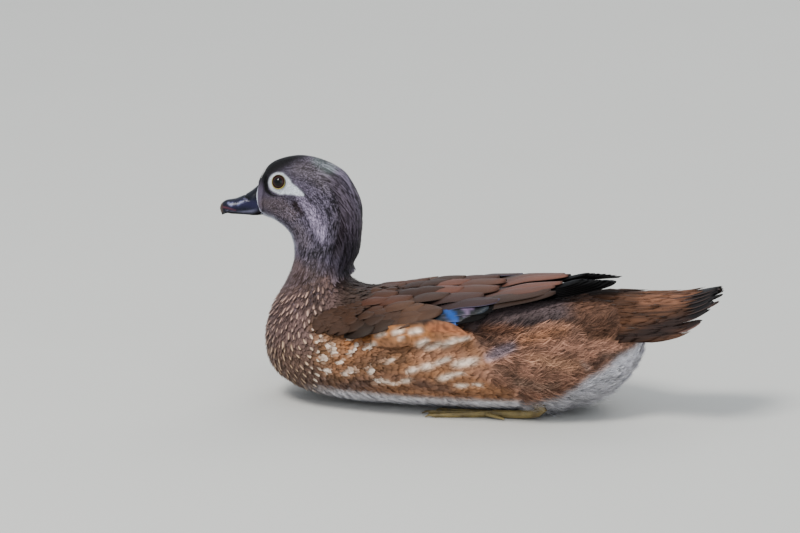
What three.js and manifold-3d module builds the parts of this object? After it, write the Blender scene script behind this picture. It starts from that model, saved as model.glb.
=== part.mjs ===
// A hen wood duck at life size, in the pose of a duck afloat, resting on the flat of its belly.
// Millimetres, +Z up. The bill points along -X, the bird's left side faces -Y, and z = 0 is the floor.
// The origin is under the middle of the bird's whole length.
import * as THREE from 'three';
import { mergeVertices } from 'three/addons/utils/BufferGeometryUtils.js';
import Module from 'manifold-3d';

const wasm = await Module();
wasm.setup();

// Driving sizes
const GAP = 0.3; // between pieces that touch
const HEAD_TURN = THREE.MathUtils.degToRad(11); // towards the bird's left
const NECK_AXIS_X = -97;
const TURN_FROM_Z = 88;
const TURN_TO_Z = 136;

// The body is one skin over planes that stand upright through the trunk, fan round the back of the
// neck and fan again round the throat. Each plane has its point on the back, its point on the belly
// side, its half width, and how square it is above and below its widest level (2 is an ellipse).
const STATIONS = [
  { name: 'tail root', back: [137, 77], belly: [141, 58], half: 13, top: 2, low: 2 },
  { name: 'undertail', back: [125, 83.5], belly: [137, 36], half: 27, top: 2.1, low: 2 },
  { name: 'rump', back: [106, 86.6], belly: [116, 13], half: 41, top: 2.3, low: 2 },
  { name: 'hips', back: [80, 88], belly: [84, 2], half: 53, top: 2.5, low: 2.05 },
  { name: 'loins', back: [48, 88.5], belly: [46, -1], half: 60, top: 2.6, low: 2.1 },
  { name: 'mid back', back: [14, 88], belly: [6, -1], half: 62.5, top: 2.7, low: 2.1 },
  { name: 'shoulders', back: [-16, 86.5], belly: [-34, -1], half: 62, top: 2.6, low: 2.1 },
  { name: 'wing roots', back: [-40, 84.5], belly: [-74, 0.5], half: 58.5, top: 2.4, low: 2.1 },
  { name: 'keel', back: [-57, 83], belly: [-108, 6.5], half: 53, top: 2.2, low: 2.1 },
  { name: 'low breast', back: [-67, 83.5], belly: [-130.5, 20.5], half: 46, top: 2.1, low: 2.1 },
  { name: 'breast', back: [-73.5, 86], belly: [-136.8, 42], half: 39, top: 2, low: 2.1 },
  { name: 'high breast', back: [-77.5, 91], belly: [-133.5, 62], half: 32, top: 2, low: 2.1 },
  { name: 'neck base', back: [-80, 98.5], belly: [-124.6, 80.5], half: 26.5, top: 2, low: 2 },
  { name: 'neck', back: [-80.5, 108], belly: [-117.5, 97], half: 22.5, top: 2, low: 2 },
  { name: 'throat', back: [-78.5, 119], belly: [-116.6, 109], half: 20.5, top: 2, low: 2 },
  { name: 'upper neck', back: [-75, 130], belly: [-118.8, 118.5], half: 19.6, top: 2, low: 2.1 },
  { name: 'jaw', back: [-72.5, 141], belly: [-123.5, 124.8], half: 19.2, top: 2, low: 2.2 },
  { name: 'nape', back: [-74.5, 153], belly: [-128.5, 128.6], half: 19, top: 2, low: 2.2 },
  { name: 'hind crown', back: [-81, 165], belly: [-132, 130.4], half: 18.8, top: 2, low: 2.2 },
  { name: 'crown', back: [-93, 173.8], belly: [-134.4, 131.3], half: 18.3, top: 2, low: 2.2 },
  { name: 'fore crown', back: [-109, 177.6], belly: [-136, 131.8], half: 17.5, top: 2, low: 2.2 },
  { name: 'brow', back: [-124, 175.4], belly: [-137.3, 132.4], half: 15.6, top: 2.1, low: 2.2 },
  { name: 'forehead', back: [-134.5, 169.6], belly: [-138.4, 133], half: 12.6, top: 2.1, low: 2.2 },
  { name: 'bill base', back: [-140, 158.6], belly: [-139.4, 134], half: 9.3, top: 2.1, low: 2.2 },
];
const LAST = STATIONS.length - 1;
const stationAt = (name) => STATIONS.findIndex((s) => s.name === name);
const WIDEST_LEVEL = 0.52; // from the back down to the belly, where a plane is widest

const BODY_ROWS = 38;
const BODY_COLS = 28;
const NECK_CUT = stationAt('high breast') + 0.6;
const HEAD_CUT = stationAt('upper neck') + 0.6;
const FLAT_Z = 0; // the belly is cut flat here

const EYE = { x: -126.3, z: 161.1, r: 6, out: 2.2, lidTube: 0.85 };

// Bill: planes from its base to its tip. Each has its ridge, with a half width, and its mouth line.
const BILL = {
  ridge: [
    [-139.4, 158.4, 9.2], [-144.4, 151.6, 8.8], [-150.2, 147.2, 8.2], [-157, 145.3, 7.7],
    [-163.4, 143.8, 6.9], [-167.8, 141, 5], [-169.3, 137.4, 2.4],
  ],
  mouth: [
    [-138.4, 135.9], [-144.6, 135.4], [-151, 135.2], [-157, 135.6], [-161.6, 136], [-165.2, 134.9],
    [-167.6, 133.2],
  ],
  chin: [
    [-138, 132.8, 7.2], [-144, 133.5, 7], [-150, 134, 6.5], [-156, 134.3, 6.1], [-161, 134.5, 5.6],
    [-164, 134.6, 3.2],
  ],
  arch: 0.75, // how square the upper half is across; 1 is an ellipse
  jawDepth: [2.2, 1.2],
  nostril: { x: -149.4, y: 4.4, z: 145.2, size: [2.6, 1.3, 1], slope: 0.45 },
  nail: { x: -166, z: 140.9, size: [4.2, 2.8, 1.6], slope: -Math.PI / 4 },
};

// The crest's core and its locks stand off the nape by these heights, from the crown to the neck's base
const CREST = {
  from: stationAt('hind crown') + 0.3,
  to: stationAt('high breast') + 0.5,
  core: [0.3, 1.6, 3.8, 6, 6, 1],
  reach: [3, 3.6, 7.8, 13, 14.6, 11.5],
  spread: 0.85,
  depth: 4,
  lockThick: 1,
  lockSpread: 0.6,
  tiers: [
    { from: 0.03, to: 0.44, count: 3, half: 5.6, lift: 0 },
    { from: 0.16, to: 0.64, count: 4, half: 5, lift: -1.3 },
    { from: 0.32, to: 0.84, count: 3, half: 5.2, lift: -2.6 },
    { from: 0.46, to: 1.03, count: 4, half: 4.4, lift: -3.9 },
  ],
};

// The folded wing's outer surface lies between an inner edge by the backbone and an outer edge on the
// flank, both given at planes one step apart, and bulges over the straight line between them.
const WING = {
  firstX: -95,
  stepX: 44,
  innerY: [13, 12, 12.5, 13, 9.5, 4],
  innerZ: [80, 88, 95, 99, 101, 104],
  outerY: [42, 57.5, 58.5, 52, 31, 10],
  outerZ: [60, 65, 73.5, 81, 89, 97.5],
  bulge: [6, 8.5, 8, 6.8, 3, 0.5],
  frontInner: -62,
  frontOuter: -86,
  coreRearInner: 50,
  coreRearOuter: 4,
  coreBelow: 2.1,
  coreDepth: 18,
};

// How wide a vane is along its length, as a part of its greatest half width
const FEATHER = [0.5, 0.8, 0.97, 1, 0.85, 0.3];
const RECTRIX = [0.3, 0.65, 0.9, 1, 0.95, 0.45];
const ROUNDED = [0.6, 1, 0.95, 0.4];
const LOCK = [0.55, 0.95, 1, 0.85, 0.55, 0.06];
const VANE = { thick: 0.7, tipThick: 0.4 };

// The wing's feathers. x and b are a root's place along and across the wing's surface; sink and lift are
// how far the root lies under the surface and the tip over it. A pair is a first value and its step.
const SHOULDER = {
  rows: 6,
  perRow: 4,
  rowStep: 14,
  firstB: 0.1,
  stepB: 0.265,
  vane: { length: 28, half: 9.2, drift: -0.02, roll: 0.19, rows: 3, sink: 2.9, lift: 1.6, shape: ROUNDED },
};
const PRIMARIES = {
  count: 4,
  steps: {
    x: [14, 2], b: [0.66, -0.07], length: [108, -10], drift: [0.22, -0.1], sink: [6.2, -1], lift: [-4.8, 1],
  },
  vane: { half: 6.2, roll: 0.04, rows: 6, rise: 4 },
};
const SECONDARIES = {
  count: 4,
  steps: { x: [-12, 3], b: [0.98, -0.12], length: [36, 4.5] },
  vane: { half: 6.6, drift: -0.03, roll: 0.16, sink: 5, lift: -3.3 },
};
const TERTIALS = {
  count: 5,
  steps: { x: [1, 4], b: [0.88, -0.19], length: [60, 4], lift: [0.2, 0.35] },
  vane: { half: 9.6, drift: 0.02, roll: 0.15, rows: 5, cols: 2, sink: 2.9 },
};

// The tail's outer surface: a ridge along the middle, and sides that fall away from it. Its core is deep
// at the root, where the undertail coverts grow, and thin at its end.
const TAIL = {
  firstX: 100,
  stepX: 25,
  halfY: [30, 28, 31, 34.5, 37],
  ridgeZ: [88.5, 88.6, 89.4, 92.2, 98.5],
  dropZ: [30, 28.5, 27, 24.5, 20],
  steepness: 1.5,
  tipX: 197.5,
  outerTipBack: 16,
  coreFrom: 104,
  coreTo: 160,
  coreRootDepth: 19,
  coreEndDepth: 1.6,
  coreBelow: 1.8,
};
const RECTRICES = {
  perSide: 6,
  rootX: 130,
  innerB: 0.1,
  outerB: 0.88,
  vane: { half: 7.2, roll: 0.24, rows: 5, sink: 4.2, shape: RECTRIX },
  leftLift: -0.2,
  rightLift: -1.1, // the left half of the fan closes over the right
};
const TAIL_COVERTS = {
  rows: 3,
  rowStep: 14,
  firstX: 106,
  stepB: 0.36,
  outermostB: 0.8,
  vane: { length: 32, half: 7.6, roll: 0.17, rows: 3, sink: 2.9, lift: 1.9, shape: ROUNDED },
};
const UNDERTAIL_COVERTS = {
  rows: 2,
  rowStep: 15,
  firstX: 130,
  length: 30,
  stepB: 0.42,
  half: 6.4,
  sink: 1.6,
  lift: 1.2,
};

// Legs folded under the belly, each shank lying forward to a webbed foot flat on the floor
const LEG = { y: 37, heelX: 74, footX: 38, shankR: 2.7 };
const TOES = {
  length: 46,
  webThick: 1,
  rays: [{ turn: -0.2, share: 0.84 }, { turn: 0.02, share: 1 }, { turn: 0.24, share: 0.93 }],
  hind: { from: [-3, 3.2], to: [11, 7.5] },
  claw: 5,
};

// Colours of the bird's parts
const finish = (color, roughness = 0.8) => new THREE.MeshStandardMaterial({ color, roughness, metalness: 0 });
const FINISH = {
  body: finish(0x6b4426),
  neck: finish(0x5c4a45),
  head: finish(0x4f4644),
  crest: finish(0x3d3838),
  bill: finish(0x2d3440, 0.35),
  eye: finish(0x1a0f0a, 0.08),
  wing: finish(0x5a4136, 0.6),
  tail: finish(0x4b3126, 0.7),
  leg: finish(0x8a7440, 0.5),
};

// Small helpers
const vec = (x, y, z) => new THREE.Vector3(x, y, z);
const mix = (a, b, t) => a + (b - a) * t;
const clamp01 = (t) => Math.min(1, Math.max(0, t));
const smooth = (t) => clamp01(t) ** 2 * (3 - 2 * clamp01(t));

// A smooth curve through equally spaced values: cubic pieces whose slopes are those of the neighbours' chord
function through(values, u) {
  const last = values.length - 1;
  const i = Math.min(last - 1, Math.max(0, Math.floor(u)));
  const f = u - i;
  const [a, b, c, d] = [values[Math.max(0, i - 1)], values[i], values[i + 1], values[Math.min(last, i + 2)]];
  const [m0, m1] = [(c - a) / 2, (d - b) / 2];
  return (2 * f ** 3 - 3 * f ** 2 + 1) * b + (f ** 3 - 2 * f ** 2 + f) * m0
    + (3 * f ** 2 - 2 * f ** 3) * c + (f ** 3 - f ** 2) * m1;
}

const LINES = {
  backX: STATIONS.map((s) => s.back[0]),
  backZ: STATIONS.map((s) => s.back[1]),
  bellyX: STATIONS.map((s) => s.belly[0]),
  bellyZ: STATIONS.map((s) => s.belly[1]),
  half: STATIONS.map((s) => s.half),
  top: STATIONS.map((s) => s.top),
  low: STATIONS.map((s) => s.low),
};

// The skin's point at plane u and at angle phi: 0 is the back, pi the belly, and the right side is positive
function skin(u, phi) {
  const at = Object.fromEntries(Object.entries(LINES).map(([key, values]) => [key, through(values, u)]));
  const c = Math.cos(phi);
  const s = Math.sin(phi);
  const power = 2 / (c >= 0 ? at.top : at.low);
  const along = Math.sign(c) * Math.abs(c) ** power;
  const across = Math.sign(s) * Math.abs(s) ** power;
  const midX = mix(at.backX, at.bellyX, WIDEST_LEVEL);
  const midZ = mix(at.backZ, at.bellyZ, WIDEST_LEVEL);
  const [endX, endZ] = along >= 0 ? [at.backX, at.backZ] : [at.bellyX, at.bellyZ];
  return vec(
    midX + (endX - midX) * Math.abs(along),
    at.half * across,
    midZ + (endZ - midZ) * Math.abs(along),
  );
}

// The skin's outward direction, from its slopes in u and phi
function outward(u, phi) {
  const du = 0.02;
  const dphi = 0.01;
  const uAt = Math.min(LAST - du, Math.max(du, u));
  const alongU = skin(uAt + du, phi).sub(skin(uAt - du, phi));
  const alongPhi = skin(uAt, phi + dphi).sub(skin(uAt, phi - dphi));
  return alongPhi.cross(alongU).normalize();
}

const above = (u, phi, height) => skin(u, phi).addScaledVector(outward(u, phi), height);

// The head and upper neck turn about an upright axis, more and more from the breast to the jaw
function turned(p) {
  const angle = HEAD_TURN * smooth((p.z - TURN_FROM_Z) / (TURN_TO_Z - TURN_FROM_Z));
  const x = p.x - NECK_AXIS_X;
  return vec(
    NECK_AXIS_X + x * Math.cos(angle) - p.y * Math.sin(angle),
    x * Math.sin(angle) + p.y * Math.cos(angle),
    p.z,
  );
}

// Geometry from rings of equal length, closed round and closed at both ends by a fan about the ring's middle
function ringsGeometry(rings) {
  const count = rings[0].length;
  const points = rings.flat();
  const faces = [];
  for (let i = 0; i + 1 < rings.length; i++) {
    for (let j = 0; j < count; j++) {
      const k = (j + 1) % count;
      const [a, b, c, d] = [i * count + j, i * count + k, (i + 1) * count + j, (i + 1) * count + k];
      faces.push(a, b, d, a, d, c);
    }
  }
  const closeEnd = (ring, start, outwardFirst) => {
    const middle = ring.reduce((sum, p) => sum.add(p), vec(0, 0, 0)).divideScalar(count);
    points.push(middle);
    const hub = points.length - 1;
    for (let j = 0; j < count; j++) {
      const k = (j + 1) % count;
      faces.push(...(outwardFirst ? [hub, start + k, start + j] : [hub, start + j, start + k]));
    }
  };
  closeEnd(rings[0], 0, true);
  closeEnd(rings[rings.length - 1], (rings.length - 1) * count, false);
  return new THREE.BufferGeometry().setFromPoints(points).setIndex(faces);
}

// Geometry of a thin plate from two grids of points, its upper and its lower face, split alike
function plateGeometry(upper, lower) {
  const rows = upper.length;
  const cols = upper[0].length;
  const faces = [];
  const at = (face, i, j) => face * rows * cols + i * cols + j;
  const quad = (a, b, c, d) => faces.push(a, b, c, a, c, d);
  for (let i = 0; i + 1 < rows; i++) {
    for (let j = 0; j + 1 < cols; j++) {
      quad(at(0, i, j), at(0, i, j + 1), at(0, i + 1, j + 1), at(0, i + 1, j));
      const [a, b, c, d] = [at(1, i, j), at(1, i, j + 1), at(1, i + 1, j + 1), at(1, i + 1, j)];
      faces.push(a, c, b, a, d, c);
    }
    quad(at(0, i, 0), at(0, i + 1, 0), at(1, i + 1, 0), at(1, i, 0));
    quad(at(0, i + 1, cols - 1), at(0, i, cols - 1), at(1, i, cols - 1), at(1, i + 1, cols - 1));
  }
  for (let j = 0; j + 1 < cols; j++) {
    quad(at(0, 0, j + 1), at(0, 0, j), at(1, 0, j), at(1, 0, j + 1));
    quad(at(0, rows - 1, j), at(0, rows - 1, j + 1), at(1, rows - 1, j + 1), at(1, rows - 1, j));
  }
  return new THREE.BufferGeometry().setFromPoints([...upper.flat(), ...lower.flat()]).setIndex(faces);
}

// A closed geometry as a solid, turned right side out if its volume is negative
function solid(geometry) {
  const bare = geometry.clone();
  bare.deleteAttribute('normal');
  bare.deleteAttribute('uv');
  const merged = mergeVertices(bare, 1e-4);
  const vertProperties = new Float32Array(merged.attributes.position.array);
  const make = (triVerts) => new wasm.Manifold(new wasm.Mesh({ numProp: 3, vertProperties, triVerts }));
  const triVerts = new Uint32Array(merged.index.array);
  const made = make(triVerts);
  if (made.volume() > 0) return made;
  for (let i = 0; i < triVerts.length; i += 3) {
    [triVerts[i + 1], triVerts[i + 2]] = [triVerts[i + 2], triVerts[i + 1]];
  }
  return make(triVerts);
}

const union = (solids) => solids.reduce((whole, part) => whole.add(part));
const biggest = (whole) => whole.decompose().reduce((a, b) => (a.volume() > b.volume() ? a : b));

function toGeometry(whole, place = (p) => p) {
  const mesh = whole.getMesh();
  const points = [];
  for (let i = 0; i < mesh.numVert; i++) {
    const at = i * mesh.numProp;
    points.push(place(vec(...mesh.vertProperties.slice(at, at + 3))));
  }
  return new THREE.BufferGeometry().setFromPoints(points).setIndex(Array.from(mesh.triVerts));
}

const duck = new THREE.Group();
duck.name = 'wood_duck';

function addNode(name, whole, material, place) {
  const mesh = new THREE.Mesh(toGeometry(biggest(whole), place), material);
  mesh.name = name;
  duck.add(mesh);
}

// The whole skin as a solid, grown outward by `lift`, its two ends too
function bodyLoft(lift = 0) {
  const rings = [];
  for (let i = 0; i <= BODY_ROWS; i++) {
    const u = (LAST * i) / BODY_ROWS;
    rings.push(Array.from({ length: BODY_COLS }, (_, j) => above(u, (j / BODY_COLS) * 2 * Math.PI, lift)));
  }
  const push = (ring, dx, dz) => ring.forEach((p) => p.add(vec(dx * lift, 0, dz * lift)));
  push(rings[0], 0.95, 0.3);
  push(rings[BODY_ROWS], -1, 0.05);
  return solid(ringsGeometry(rings));
}

// A slab as thick as the gap, in the plane of the skin at u, for parting the body
function partingSlab(u) {
  const back = skin(u, 0);
  const belly = skin(u, Math.PI);
  const [length, width, spare] = [back.distanceTo(belly), 120, 3];
  const slab = new THREE.BoxGeometry(length + 2 * spare, width, GAP);
  const slope = Math.atan2(back.z - belly.z, back.x - belly.x);
  slab.rotateY(-slope);
  slab.translate((back.x + belly.x) / 2, 0, (back.z + belly.z) / 2);
  return solid(slab);
}

// A round bar whose middle and radii are given along its length
function tube(points, radii, sides = 8) {
  const curve = new THREE.CatmullRomCurve3(points);
  const rows = (points.length - 1) * 2;
  const rings = [];
  const side = vec(0, 1, 0);
  for (let i = 0; i <= rows; i++) {
    const t = i / rows;
    const at = curve.getPoint(t);
    const tangent = curve.getTangent(t);
    side.addScaledVector(tangent, -side.dot(tangent)).normalize(); // so that the bar doesn't twist
    const up = tangent.clone().cross(side).normalize();
    const r = through(radii, t * (radii.length - 1));
    rings.push(Array.from({ length: sides }, (_, j) => {
      const a = (j / sides) * 2 * Math.PI;
      return at.clone().addScaledVector(side, r * Math.cos(a)).addScaledVector(up, r * Math.sin(a));
    }));
  }
  return solid(ringsGeometry(rings));
}

// A feather's vane: a thin plate along `spine`, a function of the way t from root to tip that gives the
// point there and the direction out of the surface below. `roll` lifts its outer edge over its neighbour.
function vane({ spine, half, shape = FEATHER, side = 1, roll = 0, rows = 5, cols = 1, camber = 0.1, thick }) {
  const upper = [];
  const lower = [];
  for (let i = 0; i <= rows; i++) {
    const t = i / rows;
    const { at, out } = spine(t);
    const ahead = spine(Math.min(1, t + 0.03)).at.sub(spine(Math.max(0, t - 0.03)).at).normalize();
    const up = out.clone().addScaledVector(ahead, -out.dot(ahead)).normalize();
    const across = up.clone().cross(ahead).multiplyScalar(side);
    across.applyAxisAngle(ahead, side * roll);
    up.applyAxisAngle(ahead, side * roll);
    const w = half * through(shape, t * (shape.length - 1));
    const deep = mix(thick ?? VANE.thick, VANE.tipThick, t ** 3) / 2;
    const line = (lift) => Array.from({ length: cols + 1 }, (_, j) => {
      const s = (2 * j) / cols - 1;
      return at.clone().addScaledVector(across, s * w).addScaledVector(up, lift - camber * w * s * s);
    });
    upper.push(line(deep));
    lower.push(line(-deep));
  }
  return solid(plateGeometry(upper, lower));
}

// Evenly spaced numbers from a to b, both included
const spaced = (a, b, parts) => Array.from({ length: parts + 1 }, (_, i) => mix(a, b, i / parts));

// Trunk, neck and head
const bodyWhole = bodyLoft();
const bodyGrown = bodyLoft(GAP);
const floorCut = solid(new THREE.BoxGeometry(500, 300, 40).translate(0, 0, FLAT_Z - 20));
const [trunk, ...upperPieces] = bodyWhole
  .subtract(floorCut)
  .subtract(partingSlab(NECK_CUT))
  .subtract(partingSlab(HEAD_CUT))
  .decompose()
  .sort((a, b) => b.volume() - a.volume());
const topOf = (whole) => whole.boundingBox().max[2];
const [neck, skull] = upperPieces.slice(0, 2).sort((a, b) => topOf(a) - topOf(b));

// Eyes, each a ball set into a socket with a rim of lids
function eyeCentre(side) {
  let best = null;
  for (let u = stationAt('crown'); u <= stationAt('forehead'); u += 0.02) {
    for (let phi = 0.5; phi < 2; phi += 0.02) {
      const p = skin(u, phi);
      const miss = Math.hypot(p.x - EYE.x, p.z - EYE.z);
      if (!best || miss < best.miss) best = { miss, u, phi };
    }
  }
  const p = above(best.u, best.phi, EYE.out - EYE.r);
  const n = outward(best.u, best.phi);
  return { at: vec(p.x, side * p.y, p.z), n: vec(n.x, side * n.y, n.z) };
}

const ball = (at, r) => solid(new THREE.SphereGeometry(r, 14, 8).translate(at.x, at.y, at.z));

function lids({ at, n }) {
  const ringR = Math.sqrt(EYE.r ** 2 - (EYE.r - EYE.out) ** 2);
  const ring = new THREE.TorusGeometry(ringR, EYE.lidTube, 5, 14);
  ring.applyQuaternion(new THREE.Quaternion().setFromUnitVectors(vec(0, 0, 1), n));
  const lift = EYE.r - EYE.out - 0.15;
  ring.translate(at.x + n.x * lift, at.y + n.y * lift, at.z + n.z * lift);
  return solid(ring);
}

let head = skull;
for (const [name, side] of [['left', -1], ['right', 1]]) {
  const eye = eyeCentre(side);
  head = head.add(lids(eye)).subtract(ball(eye.at, EYE.r + GAP));
  addNode(`eye_${name}`, ball(eye.at, EYE.r), FINISH.eye, turned);
}

// Bill
const along = (rows, u) => rows[0].map((_, k) => through(rows.map((row) => row[k]), u * (rows.length - 1)));

function billUpper() {
  const rings = spaced(0, 1, 10).map((u) => {
    const [topX, topZ, half] = along(BILL.ridge, u);
    const [lowX, lowZ] = along(BILL.mouth, u);
    const over = spaced(0, Math.PI, 9).map((a) => {
      const up = Math.sin(a) ** BILL.arch;
      return vec(mix(lowX, topX, up), -half * Math.cos(a), mix(lowZ, topZ, up));
    });
    const palate = [0.5, 0, -0.5].map((across) => vec(lowX, half * across, lowZ + 0.8));
    return [...over, ...palate];
  });
  return solid(ringsGeometry(rings));
}

function billLower() {
  const rings = spaced(0, 1, 8).map((u) => {
    const [x, z, half] = along(BILL.chin, u);
    const top = z + mix(...BILL.jawDepth, u);
    const section = [
      [-1, top], [-0.5, top], [0.5, top], [1, top], [0.85, z + 0.6], [0.3, z], [-0.3, z], [-0.85, z + 0.6],
    ];
    return section.map(([across, level]) => vec(x, half * across, level));
  });
  return solid(ringsGeometry(rings));
}

// An ellipsoid on the bill, tipped by its slope
function bead({ x, y = 0, z, size, slope }, side = 1) {
  return solid(new THREE.SphereGeometry(1, 8, 6).scale(...size).rotateY(slope).translate(x, side * y, z));
}

// A solid with copies a gap away on every side, to cut its neighbour clear of it
const STEPS_ASIDE = [
  [0, 0, 0], [GAP, 0, 0], [-GAP, 0, 0], [0, GAP, 0], [0, -GAP, 0], [0, 0, GAP], [0, 0, -GAP],
];
const grown = (whole) => union(STEPS_ASIDE.map((step) => whole.translate(step)));

const upperBill = billUpper()
  .add(bead(BILL.nail))
  .subtract(bodyGrown)
  .subtract(bead(BILL.nostril, -1))
  .subtract(bead(BILL.nostril, 1));
addNode('bill_upper', upperBill, FINISH.bill, turned);
addNode('bill_lower', billLower().subtract(bodyGrown).subtract(grown(upperBill)), FINISH.bill, turned);

// Crest: the long feathers of the nape, hanging down the back of the neck over a slim core
const crestPlane = (t) => mix(CREST.from, CREST.to, t);

function crestCore() {
  const upper = [];
  const lower = [];
  for (const t of spaced(0, 1, 7)) {
    const spread = CREST.spread * mix(0.75, 0.5, t);
    const height = through(CREST.core, t * 5);
    const phis = spaced(-spread, spread, 5);
    upper.push(phis.map((phi) => above(crestPlane(t), phi, height * Math.cos((phi / spread) * 1.4) - 0.2)));
    lower.push(phis.map((phi) => above(crestPlane(t), phi, -CREST.depth)));
  }
  return solid(plateGeometry(upper, lower));
}

// One lock, from its root in the core out to the crest's surface, its tip tucked in a little
function crestLock({ from, to, half, lift }, phi) {
  const spine = (t) => {
    const down = mix(from, to, t);
    const phiAt = phi * (1 - 0.35 * t);
    const reach = through(CREST.reach, Math.min(1, down) * 5) * Math.cos(phiAt * 1.25);
    const height = mix(through(CREST.core, from * 5) * 0.35, reach + lift, smooth(t * 2.4)) - t ** 3;
    return { at: above(crestPlane(down), phiAt, height), out: outward(crestPlane(down), phiAt) };
  };
  return vane({ spine, half, shape: LOCK, thick: CREST.lockThick, camber: 0, rows: 4 });
}

function crest() {
  const locks = CREST.tiers.flatMap((tier) => spaced(-1, 1, tier.count - 1).map((place) => {
    const to = tier.to - 0.1 * Math.abs(place);
    return crestLock({ ...tier, to }, CREST.lockSpread * place);
  }));
  return union([crestCore(), ...locks]);
}
addNode('crest', crest().subtract(bodyGrown), FINISH.crest, turned);

addNode('torso', trunk, FINISH.body, turned);
addNode('neck', neck, FINISH.neck, turned);
addNode('head', head, FINISH.head, turned);

// A point over a surface, with the direction out of it there, from `base`, which gives the surface at (x, b)
function over(base, x, b, h) {
  const alongX = base(x + 0.5, b).sub(base(x - 0.5, b));
  const out = alongX.cross(base(x, b + 0.02).sub(base(x, b - 0.02))).normalize();
  out.multiplyScalar(Math.sign(out.z));
  return { at: base(x, b).addScaledVector(out, h), out };
}

// The folded wing's surface: x along the bird, b from the inner edge to the outer edge, side -1 for the left
function wingPoint(side, x, b, h = 0) {
  const base = (xAt, bAt) => {
    const k = (xAt - WING.firstX) / WING.stepX;
    const [y0, z0] = [through(WING.innerY, k), through(WING.innerZ, k)];
    const [y1, z1] = [through(WING.outerY, k), through(WING.outerZ, k)];
    const swell = (through(WING.bulge, k) * 4 * bAt * (1 - bAt)) / Math.hypot(y1 - y0, z1 - z0);
    return vec(xAt, side * (mix(y0, y1, bAt) + swell * (z0 - z1)), mix(z0, z1, bAt) + swell * (y1 - y0));
  };
  return over(base, x, b, h);
}

const wingFront = (b) => mix(WING.frontInner, WING.frontOuter, b);

// A wing feather, from its root at x and b, drifting across the wing as it runs back
function wingVane(side, { x, b, length, drift = 0, sink, lift, rise = 0, ...rest }) {
  const height = (t) => mix(-sink, lift, t) + rise * smooth((t - 0.65) / 0.35);
  const spine = (t) => wingPoint(side, x + length * t, b + drift * t, height(t));
  return vane({ spine, side, ...rest });
}

// A tier of feathers whose sizes and places go by steps from one to the next
function wingTier(side, { count, steps, vane: fixed }) {
  return Array.from({ length: count }, (_, k) => {
    const stepped = Object.entries(steps).map(([key, [first, step]]) => [key, first + step * k]);
    return wingVane(side, { ...fixed, ...Object.fromEntries(stepped) });
  });
}

function wingCore(side) {
  const upper = [];
  const lower = [];
  for (const a of spaced(0, 1, 6)) {
    const xAt = (b) => mix(wingFront(b), mix(WING.coreRearInner, WING.coreRearOuter, b), a);
    const dip = (b) => 5 * Math.abs(2 * a - 1) ** 8 + 3.5 * Math.abs(2 * b - 1) ** 6;
    const bs = spaced(0, 1, 5);
    upper.push(bs.map((b) => wingPoint(side, xAt(b), b, -WING.coreBelow - dip(b)).at));
    lower.push(bs.map((b) => wingPoint(side, xAt(b), mix(0.5, b, 0.8), -WING.coreDepth).at));
  }
  return solid(plateGeometry(upper, lower));
}

// Rows of scapulars and coverts over the shoulder, staggered, each row overlapping the one behind it
function shoulderFeathers(side) {
  const vanes = [];
  for (let i = 0; i < SHOULDER.rows; i++) {
    for (let j = 0; j < SHOULDER.perRow; j++) {
      const b = SHOULDER.firstB + (j + 0.5 * (i % 2)) * SHOULDER.stepB;
      const x = wingFront(b) + 4 + SHOULDER.rowStep * i;
      if (b <= 1) vanes.push(wingVane(side, { x, b, ...SHOULDER.vane }));
    }
  }
  return vanes;
}

// The core and the tiers from the lowest up: wing tip, blue patch, long tertials, shoulder
function wing(side) {
  return union([
    wingCore(side),
    ...wingTier(side, PRIMARIES),
    ...wingTier(side, SECONDARIES),
    ...wingTier(side, TERTIALS),
    ...shoulderFeathers(side),
  ]).subtract(bodyGrown);
}
addNode('wing_left', wing(-1), FINISH.wing);
addNode('wing_right', wing(1), FINISH.wing);

// The tail's surface: x along the bird, b from -1 at the left edge to 1 at the right edge
function tailPoint(x, b, h = 0) {
  const base = (xAt, bAt) => {
    const k = (xAt - TAIL.firstX) / TAIL.stepX;
    const fall = through(TAIL.dropZ, k) * Math.abs(bAt) ** TAIL.steepness;
    return vec(xAt, bAt * through(TAIL.halfY, k), through(TAIL.ridgeZ, k) - fall);
  };
  return over(base, x, b, h);
}

function tailVane({ x, b, length, sink, lift, ...rest }) {
  const spine = (t) => tailPoint(x + length * t, b, mix(-sink, lift, t));
  return vane({ spine, side: b < 0 ? -1 : 1, ...rest });
}

function coreDepth(x, b) {
  const t = clamp01((x - TAIL.coreFrom) / (TAIL.coreTo - TAIL.coreFrom));
  return TAIL.coreBelow + 0.4 + mix(TAIL.coreRootDepth, TAIL.coreEndDepth, t) * (1 - 0.8 * b * b);
}

function tailCore() {
  const upper = [];
  const lower = [];
  const bs = spaced(-0.96, 0.96, 8);
  for (const t of spaced(0, 1, 5)) {
    const xAt = (b) => mix(TAIL.coreFrom, TAIL.coreTo - 9 * Math.abs(b), t);
    upper.push(bs.map((b) => tailPoint(xAt(b), b, -TAIL.coreBelow).at));
    lower.push(bs.map((b) => tailPoint(xAt(b), b, -coreDepth(xAt(b), b)).at));
  }
  return solid(plateGeometry(upper, lower));
}

// The tail's long feathers, each under its inner neighbour, the outer ones shorter
function rectrices() {
  const { perSide, rootX, innerB, outerB, leftLift, rightLift, vane: fixed } = RECTRICES;
  return [-1, 1].flatMap((side) => spaced(innerB, outerB, perSide - 1).map((place) => {
    const length = TAIL.tipX - TAIL.outerTipBack * place ** 2.5 - rootX;
    return tailVane({ x: rootX, b: side * place, length, lift: side < 0 ? leftLift : rightLift, ...fixed });
  }));
}

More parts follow.
